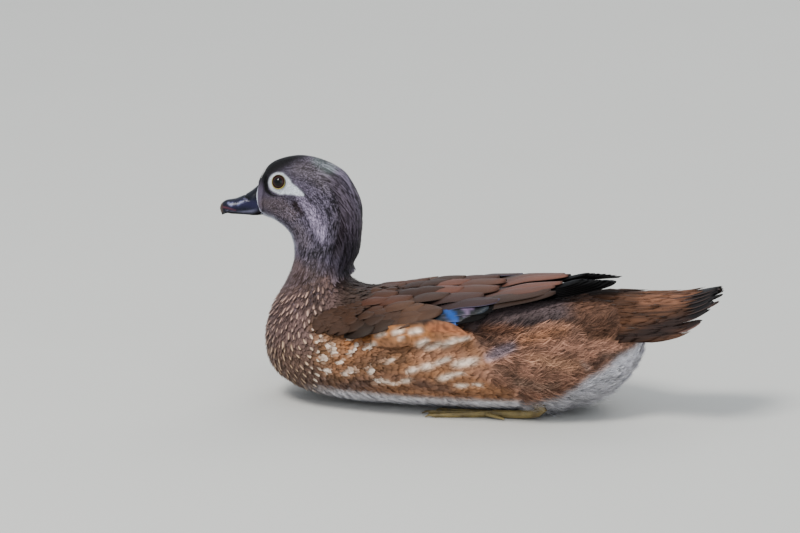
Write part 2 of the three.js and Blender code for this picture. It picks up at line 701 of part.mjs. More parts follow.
function tailCoverts() {
  const vanes = [];
  for (let i = 0; i < TAIL_COVERTS.rows; i++) {
    for (let j = -2; j <= 2; j++) {
      const b = (j + 0.5 * (i % 2)) * TAIL_COVERTS.stepB;
      const x = TAIL_COVERTS.firstX + TAIL_COVERTS.rowStep * i;
      if (Math.abs(b) <= TAIL_COVERTS.outermostB) vanes.push(tailVane({ x, b, ...TAIL_COVERTS.vane }));
    }
  }
  return vanes;
}

function undertailCoverts() {
  const { rows, rowStep, firstX, length, stepB, half, sink, lift } = UNDERTAIL_COVERTS;
  const vanes = [];
  for (let i = 0; i < rows; i++) {
    for (let j = -1; j <= 1 - i; j++) {
      const b = (j + 0.5 * i) * stepB;
      const spine = (t) => {
        const x = firstX + rowStep * i + length * t;
        const { at, out } = tailPoint(x, b, -coreDepth(x, b) + mix(sink, -lift, t));
        return { at, out: out.negate() };
      };
      vanes.push(vane({ spine, half, rows: 3, shape: ROUNDED }));
    }
  }
  return vanes;
}

const tail = union([tailCore(), ...rectrices(), ...tailCoverts(), ...undertailCoverts()]);
addNode('tail', tail.subtract(bodyGrown), FINISH.tail);

// Legs and feet
function shank(side) {
  const y = side * LEG.y;
  const line = [
    vec(LEG.heelX - 6, y, 15), vec(LEG.heelX + 1, y, 8), vec(LEG.heelX - 8, y, 4), vec(LEG.footX + 0.9, y, 3),
  ];
  return tube(line, [4.5, 3.8, LEG.shankR + 0.5, LEG.shankR]).subtract(bodyGrown).subtract(floorCut);
}

// Three long toes with a web between them, a claw on each, and a short hind toe lying back by the shank
function foot(side) {
  const base = vec(LEG.footX, side * LEG.y, 2.6);
  const rays = TOES.rays.map(({ turn, share }) => vec(-Math.cos(turn), side * Math.sin(turn), 0)
    .multiplyScalar(TOES.length * share));
  const tips = rays.map((ray) => base.clone().add(ray).setZ(1.6));
  const toes = tips.map((tip) => tube([base, base.clone().lerp(tip, 0.5).setZ(2), tip], [2.6, 2, 1.2], 6));
  const claws = tips.map((tip, i) => {
    const ahead = rays[i].clone().normalize();
    const at = (s, z) => tip.clone().addScaledVector(ahead, s).setZ(z);
    return tube([at(-1.5, 1.8), at(2, 1.8), at(TOES.claw, 0.5)], [1.1, 0.9, 0.3], 5);
  });
  const notch = (a, b) => [(a.x + b.x) / 2 + 5, (a.y + b.y) / 2];
  const edge = [
    [base.x + 1, base.y], [tips[0].x + 2, tips[0].y], notch(tips[0], tips[1]),
    [tips[1].x + 2, tips[1].y], notch(tips[1], tips[2]), [tips[2].x + 2, tips[2].y],
  ];
  const shape = new THREE.Shape(edge.map(([x, y]) => new THREE.Vector2(x, y)));
  const web = solid(new THREE.ExtrudeGeometry(shape, { depth: TOES.webThick, bevelEnabled: false }));
  const { from, to } = TOES.hind;
  const behind = (t, z) => vec(base.x + mix(from[0], to[0], t), base.y + side * mix(from[1], to[1], t), z);
  const hind = tube([behind(0, 3), behind(0.5, 2.2), behind(1, 1.2)], [1.6, 1.3, 0.6], 5);
  return union([...toes, ...claws, web, hind]).subtract(floorCut).subtract(bodyGrown);
}

for (const [name, side] of [['left', -1], ['right', 1]]) {
  addNode(`leg_${name}`, shank(side), FINISH.leg);
  addNode(`foot_${name}`, foot(side), FINISH.leg);
}

// The origin goes under the middle of the whole length
const length = new THREE.Box3().setFromObject(duck);
duck.position.x = -(length.min.x + length.max.x) / 2;

export default duck;
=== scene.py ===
# %% [markdown]
# # A hen wood duck, feather by feather
#
# A museum's model of a hen wood duck, at life size and in the pose of a duck afloat. The solid model
# made in CAD is the frame: this script dresses it in one skin and a coat of mesh feathers.

# %% The frame
import math

import bpy
import numpy as np
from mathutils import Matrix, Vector


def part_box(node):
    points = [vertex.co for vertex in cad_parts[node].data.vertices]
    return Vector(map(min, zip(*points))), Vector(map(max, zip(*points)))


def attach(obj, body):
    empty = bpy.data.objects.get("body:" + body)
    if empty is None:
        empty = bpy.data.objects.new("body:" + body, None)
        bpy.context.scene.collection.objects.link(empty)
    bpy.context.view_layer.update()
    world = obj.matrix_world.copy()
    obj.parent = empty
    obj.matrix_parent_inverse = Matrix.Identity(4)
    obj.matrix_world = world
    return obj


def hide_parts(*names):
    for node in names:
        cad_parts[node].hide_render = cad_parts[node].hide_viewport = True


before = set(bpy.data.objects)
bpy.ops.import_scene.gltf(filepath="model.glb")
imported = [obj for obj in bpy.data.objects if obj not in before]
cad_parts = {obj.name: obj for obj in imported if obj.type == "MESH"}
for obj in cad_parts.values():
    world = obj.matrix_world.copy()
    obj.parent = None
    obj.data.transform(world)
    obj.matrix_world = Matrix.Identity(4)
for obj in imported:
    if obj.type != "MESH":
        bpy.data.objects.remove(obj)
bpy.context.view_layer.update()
scene = bpy.context.scene
print("nodes:", len(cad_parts))


# %% Small helpers
def mix(a, b, t):
    """From a to b as t goes from 0 to 1."""
    return a + (b - a) * t


def grid(*lines):
    """Arrays of every pair of values, the first running down the rows."""
    return np.meshgrid(*lines, indexing="ij")


def smooth(t):
    """An S-shaped step: 3t^2 - 2t^3, held at 0 below 0 and at 1 above 1."""
    t = np.clip(t, 0, 1)
    return t * t * (3 - 2 * t)


def unit(v):
    """Vectors scaled to length 1."""
    return v / np.maximum(np.linalg.norm(v, axis=-1, keepdims=True), 1e-9)


def through(values, u):
    """A smooth curve through evenly spaced values: cubics whose slopes are half the neighbours' chord."""
    values = np.asarray(values, float)
    u = np.asarray(u, float)
    last = len(values) - 1
    i = np.clip(np.floor(u).astype(int), 0, last - 1)
    f = (u - i).reshape(u.shape + (1,) * (values.ndim - 1))
    a, b, c, d = values[np.maximum(i - 1, 0)], values[i], values[i + 1], values[np.minimum(i + 2, last)]
    m0, m1 = (c - a) / 2, (d - b) / 2
    return ((2 * f**3 - 3 * f**2 + 1) * b + (f**3 - 2 * f**2 + f) * m0
            + (3 * f**2 - 2 * f**3) * c + (f**3 - f**2) * m1)


def linear(code):
    """An sRGB colour such as '#8a5230' as linear light: ((c + 0.055) / 1.055)^2.4, c / 12.92 when dark."""
    c = np.array([int(code[i : i + 2], 16) / 255 for i in (1, 3, 5)])
    return np.where(c <= 0.04045, c / 12.92, ((c + 0.055) / 1.055) ** 2.4)


def grain(x, y, seed):
    """Smooth noise from 0 to 1: chance numbers on a lattice of step 1, blended by S-shaped steps."""
    side = 256
    table = np.random.default_rng(seed).uniform(0, 1, (side, side))
    i, j = np.floor(x).astype(int), np.floor(y).astype(int)
    f, g = smooth(x - i), smooth(y - j)
    low, high = (mix(table[i % side, k % side], table[(i + 1) % side, k % side], f) for k in (j, j + 1))
    return mix(low, high, g)


# %% [markdown]
# A bird's body has no straight part, but a line drawn across it is close to a squashed circle everywhere. It
# could be modelled by hand as a mesh. Here planes are measured from the tail to the bill and joined by
# smooth curves, so that any place on the body is a function of two numbers.

# %% The body's planes
# Each plane: its name, x and z of its point on the back and on the belly, its half width, and how square it
# is above and below its widest level (2 is an ellipse).
STATIONS = [
    ("tail root", 137, 77, 141, 58, 13, 2, 2),
    ("undertail", 125, 83.5, 137, 36, 27, 2.1, 2),
    ("rump", 106, 86.6, 116, 13, 41, 2.3, 2),
    ("hips", 80, 88, 84, 2, 53, 2.5, 2.05),
    ("loins", 48, 87, 46, -1, 60, 2.6, 2.1),
    ("mid back", 14, 85, 6, -1, 62.5, 2.7, 2.1),
    ("shoulders", -16, 83, -34, -1, 62, 2.6, 2.1),
    ("wing roots", -40, 81.4, -74, 0.5, 58.5, 2.4, 2.1),
    ("keel", -57, 81, -108, 6.5, 53, 2.2, 2.1),
    ("low breast", -67, 82.6, -130.5, 20.5, 46, 2.1, 2.1),
    ("breast", -73.5, 86, -136.8, 42, 39, 2, 2.1),
    ("high breast", -77.5, 91, -133.5, 62, 32, 2, 2.1),
    ("neck base", -80, 98.5, -124.6, 80.5, 26.5, 2, 2),
    ("neck", -80.5, 108, -117.5, 97, 22.5, 2, 2),
    ("throat", -78.5, 119, -116.6, 109, 20.5, 2, 2),
    ("upper neck", -75, 130, -118.8, 118.5, 19.6, 2, 2.1),
    ("jaw", -72.5, 141, -123.5, 124.8, 19.2, 2, 2.2),
    ("nape", -74.5, 153, -128.5, 128.6, 19, 2, 2.2),
    ("hind crown", -81, 165, -132, 130.4, 18.8, 2, 2.2),
    ("crown", -93, 173.8, -134.4, 131.3, 18.3, 2, 2.2),
    ("fore crown", -109, 177.6, -136, 131.8, 17.5, 2, 2.2),
    ("brow", -124, 175.4, -137.3, 132.4, 15.6, 2.1, 2.2),
    ("forehead", -134.5, 169.6, -138.4, 133, 12.6, 2.1, 2.2),
    ("bill base", -140, 158.6, -139.4, 134, 9.3, 2.1, 2.2),
]
PLANES = np.array([row[1:] for row in STATIONS], float)
LAST = len(STATIONS) - 1
WIDEST_LEVEL = 0.52  # from the back down to the belly

# The wing at planes a step apart: y and z of its inner and outer edges, and the bulge between them
WING_X, WING_STEP = -95, 44
WING_LINES = np.array([
    [6, 77, 42, 60, 5], [4, 80.5, 57.5, 65, 4], [4, 86, 58.5, 73.5, 4],
    [4, 89.6, 52, 81, 2.6], [4, 95, 31, 89, 2], [3, 100.5, 10, 97.5, 0.5],
], float)

# The tail at planes a step apart: half width, height of its ridge, and the drop to its edges
TAIL_X, TAIL_STEP = 100, 25
TAIL_LINES = np.array([
    [30, 88.5, 30], [28, 88.6, 28.5], [31, 89.4, 27], [34.5, 92.2, 24.5], [37, 98.5, 20],
], float)


def station(name):
    """The number of a named plane."""
    return [row[0] for row in STATIONS].index(name)


def body(u, phi):
    """The body's surface in millimetres: the plane's line from back to belly, with signed powers of cos and
    sin of phi as the shares of the way along it and across it. phi is 0 on the back and pi on the belly."""
    back_x, back_z, belly_x, belly_z, half, top, low = np.moveaxis(through(PLANES, u), -1, 0)
    c, s = np.cos(phi), np.sin(phi)
    power = 2 / np.where(c >= 0, top, low)
    along = np.sign(c) * np.abs(c) ** power
    across = np.sign(s) * np.abs(s) ** power
    mid_x, mid_z = mix(back_x, belly_x, WIDEST_LEVEL), mix(back_z, belly_z, WIDEST_LEVEL)
    end_x, end_z = np.where(along >= 0, back_x, belly_x), np.where(along >= 0, back_z, belly_z)
    x = mid_x + (end_x - mid_x) * np.abs(along)
    z = mid_z + (end_z - mid_z) * np.abs(along)
    return np.stack([x, half * across, z], -1)


# %% [markdown]
# A chart of that surface has equal steps of length round the body, so that a feather is as wide on the
# belly as on the back. Everything on the skin is then looked up in the chart.

# %% The chart of the skin
CHART_ROWS, CHART_COLS, FINE_COLS = 461, 385, 1441
CHART_U = np.linspace(0, LAST, CHART_ROWS)
CHART_A = np.linspace(-1, 1, CHART_COLS)
fine_phi = np.linspace(-math.pi, math.pi, FINE_COLS)
fine = body(CHART_U[:, None], fine_phi[None, :])
steps_round = np.linalg.norm(np.diff(fine, axis=1), axis=-1)
run = np.concatenate([np.zeros((CHART_ROWS, 1)), np.cumsum(steps_round, 1)], 1)
ROUND = run[:, -1] / 2
chart_phi = np.stack([np.interp((CHART_A + 1) * half, way, fine_phi) for half, way in zip(ROUND, run)])
CHART = body(CHART_U[:, None], chart_phi)
CHART[:, 0] = CHART[:, -1] = (CHART[:, 0] + CHART[:, -1]) / 2
slope_u = np.gradient(CHART, CHART_U, axis=0)
slope_a = np.gradient(np.concatenate([CHART[:, -2:-1], CHART, CHART[:, 1:2]], 1), axis=1)[:, 1:-1]
NORMAL = unit(np.cross(slope_a, slope_u))
chart_all = np.concatenate([CHART, NORMAL, slope_u], -1)


def on_skin(u, a):
    """Point, outward direction and slope along u at plane u and share a of the way round, -1 to 1, by the
    weighted mean of the four nearest places in the chart. Past the last planes it runs on straight."""
    inside = np.clip(u, 0, LAST)
    row = np.clip(inside / LAST * (CHART_ROWS - 1), 0, CHART_ROWS - 1.001)
    col = np.clip(((a + 1) % 2) / 2 * (CHART_COLS - 1), 0, CHART_COLS - 1.001)
    i, j = row.astype(int), col.astype(int)
    f, g = (row - i)[..., None], (col - j)[..., None]
    near, far = (mix(chart_all[k, j], chart_all[k, j + 1], g) for k in (i, i + 1))
    found = mix(near, far, f)
    point, out, along = found[..., :3], unit(found[..., 3:6]), found[..., 6:]
    return point + along * (u - inside)[..., None], out, along


def half_round(u):
    """Half the way round the body at plane u, in millimetres."""
    return np.interp(u, CHART_U, ROUND)


HEAD_TURN, NECK_AXIS_X = math.radians(11), -97
PIXEL_MM = 0.72
shift_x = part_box("torso")[0][0] * 1000 - CHART[CHART_U < station("high breast"), :, 0].min()
print("the origin is", round(-shift_x, 1), "mm from the drawing's")


def turn_share(z):
    """How much of the head's turn a height has: an S from 0 at z = 88 to 1 at z = 136."""
    return smooth((z - 88) / 48)


def placed(p, turns=True):
    """Drawing millimetres to the part's metres. The neck and head turn about an upright axis in the neck by
    their share of the head's turn."""
    x, y, z = p[..., 0] - NECK_AXIS_X, p[..., 1], p[..., 2]
    angle = HEAD_TURN * turn_share(z) * turns
    turned_x = x * np.cos(angle) - y * np.sin(angle) + NECK_AXIS_X
    turned_y = x * np.sin(angle) + y * np.cos(angle)
    return np.stack([turned_x + shift_x, turned_y, z], -1) / 1000


def side_view(p, turns=True):
    """Where a point of the bird shows in the side view, in its pixels, with the far half mirrored on to the
    near one: the parts of x, y and z along the picture's two directions, over the millimetres a pixel. The
    head faces the picture a little more than the body does."""
    x, y, z = p[..., 0], -np.abs(p[..., 1]), p[..., 2]
    w = turn_share(z) * turns
    body_right = 451.5 + (0.974 * x + 0.225 * y) / PIXEL_MM
    body_down = 364 - (-0.0544 * x + 0.2357 * y + 0.970 * (z - 28)) / PIXEL_MM
    head_right = 451.5 + (x + 2.5) / PIXEL_MM
    head_down = 364 - (z - 22.56 - 0.0087 * (x - NECK_AXIS_X) + 0.238 * y) / 0.7423
    return mix(body_right, head_right, w), mix(body_down, head_down, w)


# %% [markdown]
# Blender can add points and faces one at a time, but a coat of feathers has a million of them. One function
# hands whole arrays over at once, and gives the solid model's frame the new piece.

# %% A mesh from arrays
def make_piece(name, points, faces, material, colours=None, bake=None, turns=True, **layers):
    """One object from arrays: points in drawing millimetres, one array or more of faces as corner numbers, a
    colour and any named number for each point, and each point's place on the bake map."""
    points = placed(points.reshape(-1, 3), turns)
    groups = faces if isinstance(faces, list) else [faces]
    corners = np.concatenate([g.ravel() for g in groups]).astype(np.int32)
    sizes = np.concatenate([np.full(len(g), g.shape[1]) for g in groups])
    starts = np.concatenate([[0], np.cumsum(sizes)[:-1]]).astype(np.int32)
    mesh = bpy.data.meshes.new(name)
    mesh.vertices.add(len(points))
    mesh.vertices.foreach_set("co", points.astype(np.float32).ravel())
    mesh.loops.add(len(corners))
    mesh.loops.foreach_set("vertex_index", corners)
    mesh.polygons.add(len(sizes))
    mesh.polygons.foreach_set("loop_start", starts)
    mesh.update(calc_edges=True)
    mesh.polygons.foreach_set("use_smooth", np.ones(len(sizes), bool))
    if colours is not None:
        rgba = np.concatenate([np.clip(colours.reshape(-1, 3), 0, 1), np.ones((len(points), 1))], 1)
        layer = mesh.color_attributes.new("Plumage", "FLOAT_COLOR", "POINT")
        layer.data.foreach_set("color", rgba.ravel())
    for key, values in layers.items():
        layer = mesh.attributes.new(key, "FLOAT", "POINT")
        layer.data.foreach_set("value", np.ravel(values).astype(np.float32))
    if bake is not None:
        uv = bake.reshape(-1, 2)[corners]
        mesh.uv_layers.new(name="OFBake").data.foreach_set("uv", uv.astype(np.float32).ravel())
    mesh.materials.append(material)
    piece = bpy.data.objects.new(name, mesh)
    scene.collection.objects.link(piece)
    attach(piece, "root")
    print(name, "points", len(points), "triangles", int((sizes - 2).sum()))
    return piece


def grid_faces(rows, cols, sheets=1, reverse=False):
    """Corner numbers of the four-sided faces of sheets that each have rows x cols points."""
    first = np.arange(rows - 1)[:, None] * cols + np.arange(cols - 1)
    quad = np.stack([first, first + 1, first + cols + 1, first + cols], -1).reshape(-1, 4)
    if reverse:
        quad = quad[:, ::-1]
    return (quad[None] + (np.arange(sheets) * rows * cols)[:, None, None]).reshape(-1, 4)


# %% [markdown]
# A feather is keratin, the stuff of nails: translucent, a little glossy, and parted into barbs that scatter
# the light. The colour is painted on the points, and a material adds what is too fine for them: a mottle and
# the barbs' ridges, about 1.5 mm apart, drawn coarser than real ones because those don't show at this size.

# %% Materials
def add(tree, kind, links=(), **settings):
    """A node with its settings, and its links given as (input, output socket) pairs."""
    node = tree.nodes.new(kind)
    for key, value in settings.items():
        if hasattr(node, key):
            setattr(node, key, value)
        else:
            node.inputs[key.replace("_", " ")].default_value = value
    for target, source in links:
        tree.links.new(source, node.inputs[target])
    return node


def new_material(name):
    """A material whose node tree is empty."""
    material = bpy.data.materials.new(name)
    material.use_nodes = True
    tree = material.node_tree
    tree.nodes.clear()
    return material, tree


def mottled(tree, scale, detail, least, most, power=1.0):
    """The painted colour to a power, times a shade from least to most by noise; the noise; the place."""
    place = add(tree, "ShaderNodeTexCoord").outputs["Object"]
    paint = add(tree, "ShaderNodeAttribute", attribute_name="Plumage").outputs["Color"]
    noise = add(tree, "ShaderNodeTexNoise", [("Vector", place)], Scale=scale, Detail=detail).outputs["Fac"]
    shade = add(tree, "ShaderNodeMapRange", [("Value", noise)], To_Min=least, To_Max=most).outputs["Result"]
    deep = add(tree, "ShaderNodeGamma", [("Color", paint)], Gamma=power).outputs["Color"]
    tinted = add(tree, "ShaderNodeVectorMath", [(0, deep), (1, shade)], operation="MULTIPLY")
    return tinted.outputs["Vector"], noise, place


def shaded(material, tree, links, **settings):
    """The material with its shader, of these links and settings, as its surface."""
    shader = add(tree, "ShaderNodeBsdfPrincipled", links, **settings)
    add(tree, "ShaderNodeOutputMaterial", [("Surface", shader.outputs["BSDF"])])
    return material


def plumage(name, roughness=0.6, sheen=0.15, barb_mm=1.5, barb_strength=0.25, fleck=0.25, gloss=0.0,
            shine=0.16):
    """Keratin barbs in close rows: the painted colour raised to the power 1.15, for the light lost between
    the barbs, mottled a little, over fine ridges along them."""
    material, tree = new_material(name)
    colour, _, _ = mottled(tree, 420.0, 3.0, 1 - fleck, 1 + fleck, 1.15)
    barb = add(tree, "ShaderNodeAttribute", attribute_name="barb").outputs["Fac"]
    turn = add(tree, "ShaderNodeMath", [(0, barb)], operation="MULTIPLY")
    turn.inputs[1].default_value = 2 * math.pi / barb_mm
    wave = add(tree, "ShaderNodeMath", [(0, turn.outputs[0])], operation="SINE").outputs[0]
    bump = add(tree, "ShaderNodeBump", [("Height", wave)], Strength=barb_strength, Distance=0.0003)
    return shaded(
        material, tree, [("Base Color", colour), ("Normal", bump.outputs["Normal"])],
        Roughness=roughness, Sheen_Weight=sheen, Sheen_Roughness=0.4, Coat_Weight=gloss, Coat_Roughness=0.35,
        Specular_IOR_Level=shine)


SOFT = plumage("soft_head_feathers", roughness=0.55, sheen=0.05, fleck=0.12, barb_strength=0.0)
BODY = plumage("soft_body_feathers", roughness=0.62, sheen=0.06, barb_mm=1.6, fleck=0.15)
VANES = {"barb_mm": 1.4, "fleck": 0.1}
QUILL = plumage("smooth_wing_feathers", roughness=0.5, sheen=0.04, barb_strength=0.2, **VANES)
PRIMARY = plumage("black_flight_feathers", roughness=0.5, sheen=0.0, barb_strength=0.2, shine=0.05, **VANES)
SHINE = plumage("blue_wing_patch", roughness=0.3, sheen=0.0, barb_strength=0.3, gloss=0.3, **VANES)


# %% [markdown]
# A bird's markings run over many feathers. They could be painted on each, but here they are soft strokes in
# one side view of the bird, and each feather looks its colours up by its own place. A few strokes are
# painted shade, sheen and highlights.

# %% Colours and markings
def stroke(right, down, line, soft):
    """How far a place is inside a painted stroke, from 0 to 1 over a soft edge. The stroke is a row of
    points with half widths, and each piece of it is measured to the nearest point along it."""
    inside = np.full(np.shape(right), -1e9)
    for a, b in zip(line[:-1], line[1:]):
        ex, ey = b[0] - a[0], b[1] - a[1]
        t = np.clip(((right - a[0]) * ex + (down - a[1]) * ey) / (ex * ex + ey * ey), 0, 1)
        miss = np.hypot(right - a[0] - t * ex, down - a[1] - t * ey)
        inside = np.maximum(inside, mix(a[2], b[2], t) - miss)
    return smooth(inside / soft + 0.5)


def painted(base, layers):
    """Colours laid over one another, each by its own weight from 0 to 1."""
    for code, weight in layers:
        colour = linear(code) if isinstance(code, str) else code
        base = base + (colour - base) * weight[..., None]
    return base


def even(code, shape):
    """One colour for every point."""
    return np.broadcast_to(linear(code), shape)


def brushed(base, strokes, right, down):
    """Colours under strokes in the side view, each of its colour, line, soft edge and strength."""
    return painted(base, [
        (code, amount * stroke(right, down, line, soft)) for code, line, soft, amount in strokes])


# Outlines in the side view's pixels: the flank's upper edge, its rear edge as (down, right), and where the
# white of the vent begins, as (right, z in mm)
FLANK_TOP = np.array([
    (300, 352), (322, 338), (335, 331), (375, 333), (382, 325), (425, 327), (433, 320), (448, 322),
    (468, 332), (485, 337), (505, 335), (520, 329), (545, 323), (562, 321), (575, 327), (587, 338),
    (622, 341), (650, 346),
])
FLANK_END = np.array([(326, 466), (337, 470), (350, 478), (364, 486), (376, 484), (390, 512)])
VENT_TOP = np.array([(296, 19), (535, 19), (560, 27), (585, 39), (610, 50), (640, 60)])
FACE_PATCH = [(279.3, 182.6, 10.3), (283, 185, 9.6), (289, 188.3, 6.4), (295, 190.5, 4.6), (300, 193, 3),
              (304, 195, 1.2)]
FACE_STREAK = [(300, 197, 2), (305, 203, 4), (312, 212, 5.4), (318, 223, 6), (323, 235, 4.6), (326, 246, 2)]

# The flank's spots: right, down, half length along its own slope as two steps, and half width
SPOTS = np.array([
    (323.5, 330.5, 1.5, -1, 1.4), (329, 327.5, 2, -2, 1.8), (323, 340, 2.5, -1, 1.6),
    (334, 347.5, 3, 0, 2.6), (337, 354, 2.5, -1, 1.6), (326, 359, 3, 0, 2), (330, 372, 2, -1, 2.2),
    (347, 374, 2.5, 0, 2), (355, 371.5, 3, 0, 1.8), (356.5, 349, 3.5, -5.5, 1.8), (353, 338, 2.5, -1.5, 1.2),
    (372.4, 345.6, 2.5, -2.5, 2.2), (380.5, 334, 4, -1.8, 2), (398, 331.2, 5, -2, 2.2),
    (401, 337.5, 2.5, -0.6, 1), (415.5, 330.8, 6, -1, 2.2), (422.4, 342.5, 5, -2.4, 2.6),
    (433.5, 345.6, 7.5, -2.6, 2.4), (449.5, 342, 7.5, -3.4, 2.6), (463, 338.5, 5, -1.4, 1.8),
    (373, 371, 2.5, -0.5, 3.4), (384, 382, 4, -0.2, 1.8), (394, 383.5, 3, 0, 1.2),
    (406, 380.5, 3.5, -0.6, 2), (412.6, 369.6, 5, -1.6, 2.6), (426.7, 366, 4, -1.2, 3.2),
    (442, 360.5, 7, -3, 2.2), (464.5, 362, 11.5, -2.4, 3.6), (445.5, 376.5, 7, -2.4, 2.6),
    (461, 385, 5, 0, 1.8), (477, 384, 3, 0.6, 1.4), (343, 362, 2.5, -1, 1.4), (391, 360, 3, -1.4, 1.2),
    (458, 373, 4, -1, 1.4),
])

# Each stroke has its colour, its line of pixels with half widths, its soft edge and its strength
BODY_MARKS_SHADE_AND_HIGHLIGHTS = [
    ("#4a3a32", [(306, 284, 8), (316, 300, 11), (320, 318, 9)], 24, 0.75),
    ("#6d5236", [(318, 328, 8), (330, 345, 10), (325, 362, 8)], 16, 0.7),
    ("#b0733e", [(352, 343, 5), (366, 337, 5), (385, 330, 5), (425, 333, 5)], 14, 0.75),
    # The next two strokes darken the lower flank: its own purple-brown, deepened by painted shade.
    ("#66503f", [(336, 380, 6), (360, 374, 8), (385, 362, 9), (402, 358, 6)], 16, 0.8),
    ("#6a544b", [(345, 388, 5), (400, 379, 6), (425, 384, 5), (450, 388, 4)], 12, 0.85),
    ("#b2866c", [(425, 354, 10), (455, 352, 8), (470, 366, 10)], 18, 0.85),
    ("#a3694a", [(430, 327, 4), (446, 327, 5), (466, 335, 4)], 8, 0.8),
    ("#8e644c", [(484, 331, 5), (505, 330, 5), (520, 331, 3)], 10, 0.85),
    ("#604a40", [(478, 342, 5), (492, 340, 4)], 8, 0.8),
    ("#9a7460", [(478, 372, 6), (492, 380, 5), (508, 384, 3)], 8, 0.8),
    ("#a3939b", [(487, 357, 4), (498, 351, 6), (511, 346, 4.5)], 7, 0.9),
    ("#6b5548", [(498, 368, 5), (512, 372, 4)], 9, 0.7),
    # The next two strokes are painted highlights on the thigh's fluff.
    ("#bb8967", [(522, 340, 5), (545, 334, 6), (562, 331, 5)], 12, 0.75),
    ("#c79d7f", [(530, 356, 4), (555, 362, 6), (574, 364, 5)], 12, 0.7),
    # A painted shadow low under the thigh's fluff.
    ("#8a786a", [(516, 380, 4), (540, 384, 3), (556, 382, 2)], 9, 0.7),
    ("#cbb9ae", [(580, 361, 1.4), (586, 367, 1.6)], 5, 0.6),
    ("#4c3c36", [(592, 362, 3), (600, 359, 3)], 5, 0.8),
    ("#62524a", [(600, 354, 3), (620, 354, 4), (640, 351, 5)], 8, 0.9),
]
HEAD_MARKS_AND_SHEEN = [
    ("#6a6166", [(300, 168, 8), (318, 170, 12), (330, 184, 9)], 16, 1),
    # A painted sheen: the grey-green gloss on the hind crown.
    ("#84918e", [(318, 160, 5), (330, 168, 6)], 10, 0.75),
    ("#4a3f47", [(334, 182, 5), (344, 202, 9), (345, 225, 13), (343, 250, 12)], 14, 1),
    ("#352f35", [(345, 244, 8), (342, 262, 10), (338, 274, 8)], 12, 1),
    ("#46393a", [(349, 184, 1), (358, 210, 2), (360, 235, 2), (354, 260, 2)], 5, 0.7),
    ("#100b0d", [(261, 180, 4), (266, 170, 9), (278, 163, 9), (290, 158, 7), (302, 156, 3)], 13, 0.97),
    ("#76696f", [(266, 203, 5), (280, 207, 9), (292, 214, 8)], 8, 1),
    ("#33262a", [(297, 205, 5), (303, 213, 3.5)], 7, 1),
    ("#b0a2ba", FACE_STREAK, 7, 0.9),
    ("#6e636a", [(298, 228, 6), (304, 244, 8)], 10, 1),
    ("#3f383d", [(304, 253, 4), (318, 254, 6), (331, 250, 4)], 9, 0.9),
    ("#5f5459", [(306, 263, 5), (322, 268, 8)], 10, 0.8),
    ("#0c0a0d", [(262, 172, 2.5), (266, 179, 3), (267, 190, 2.2), (271, 194, 1.4), (276, 196, 0.8)], 3, 1),
    ("#dfe4f2",
     [(262, 219, 5), (271, 222.5, 5.4), (279, 229, 5.6), (286, 237, 5.8), (289, 246, 5), (290, 255, 2.5),
      (289.5, 261, 0.5)], 7, 1),
    ("#d5d6e6", [(259.5, 208, 0.5), (262, 212, 0.8), (267, 217.6, 1.2), (275, 224, 1.5)], 1.6, 0.9),
    ("#f4f8ff", FACE_PATCH, 2.6, 1),
]


def spotted(colour, right, down):
    """The flank's cream smears: an ellipse along each spot's own slope, with a golden halo round it, both
    fading with the square of the distance."""
    halo, core = np.zeros(right.shape), np.zeros(right.shape)
    for x, y, dx, dy, half in SPOTS:
        long = math.hypot(dx, dy)
        along = ((right - x) * dx + (down - y) * dy) / long
        across = ((right - x) * dy - (down - y) * dx) / long
        halo = np.maximum(halo, np.exp(-((along / (long + 5)) ** 2) - (across / (half + 3)) ** 2))
        core = np.maximum(core, np.exp(-((along / (long + 1.5)) ** 4) - (across / (half + 0.4)) ** 2))
    return painted(colour, [("#c08a5c", 0.6 * halo), ("#efdfd0", 0.9 * core)])


def markings(p):
    """The bird's colours by place: each marking is a soft stroke in the side view; a few are painted shade,
    sheen and highlights.
    """
    right, down = side_view(p)
    z = p[..., 2]
    top = np.interp(right, FLANK_TOP[:, 0], FLANK_TOP[:, 1])
    flank = smooth((down - top) / 5 + 0.5) * smooth((right - 312) / 30)
    behind = smooth((right - np.interp(down, FLANK_END[:, 0], FLANK_END[:, 1])) / 16 + 0.4)
    breast = smooth((352 - right) / 26) * (1 - flank)
    head = smooth((264 + 0.35 * (right - 290) - down) / 16) * smooth((378 - right) / 8)
    colour = painted(even("#4b3b32", p.shape), [
        ("#5f5150", behind),
        ("#6d5040", smooth((right - 558) / 22)),
        ("#866650", smooth((right - 558) / 22) * smooth((down - 332) / 12)),
        ("#916a4e", flank),
        ("#b28974", flank * behind),
        ("#7b645e", breast),
        ("#755d50", breast * smooth((down - 335) / 30)),
    ])
    colour = spotted(brushed(colour, BODY_MARKS_SHADE_AND_HIGHLIGHTS, right, down), right, down)
    pale = smooth((np.interp(right, VENT_TOP[:, 0], VENT_TOP[:, 1]) - z) / 8) * smooth((right - 296) / 50)
    return brushed(painted(colour, [("#dfdde2", pale), ("#645b6b", head)]), HEAD_MARKS_AND_SHEEN, right, down)


# %% [markdown]
# Under the coat is a skin, seen only in the gaps. It lies inside the solid model by the depth of the coat,
# so that the feathers' tips come out near the solid's surface, and it is thick at the nape, under the
# crest.

# %% The skin
SKIN_ROWS, SKIN_COLS = 300, 121
COAT_PLACES = [0, station("high breast"), station("neck"), station("jaw"), LAST]
COAT_DEPTH = [2.4, 2.2, 1.6, 0.9, 0.25]
CREST_FROM, CREST_TO = station("hind crown") + 0.3, station("high breast") + 0.5
CREST_CORE = [0.3, 1.6, 3.8, 6, 6, 1]
CREST_REACH = [1.6, 3.2, 7.2, 11.4, 12, 6.4]


def coat_depth(u):
    """How far the skin lies inside the solid, by the plumage's depth there."""
    return np.interp(u, COAT_PLACES, COAT_DEPTH)


def down_crest(u):
    """How far a plane is down the crest, from 0 at the hind crown to 1 at the breast."""
    return (CREST_FROM - u) / (CREST_FROM - CREST_TO)


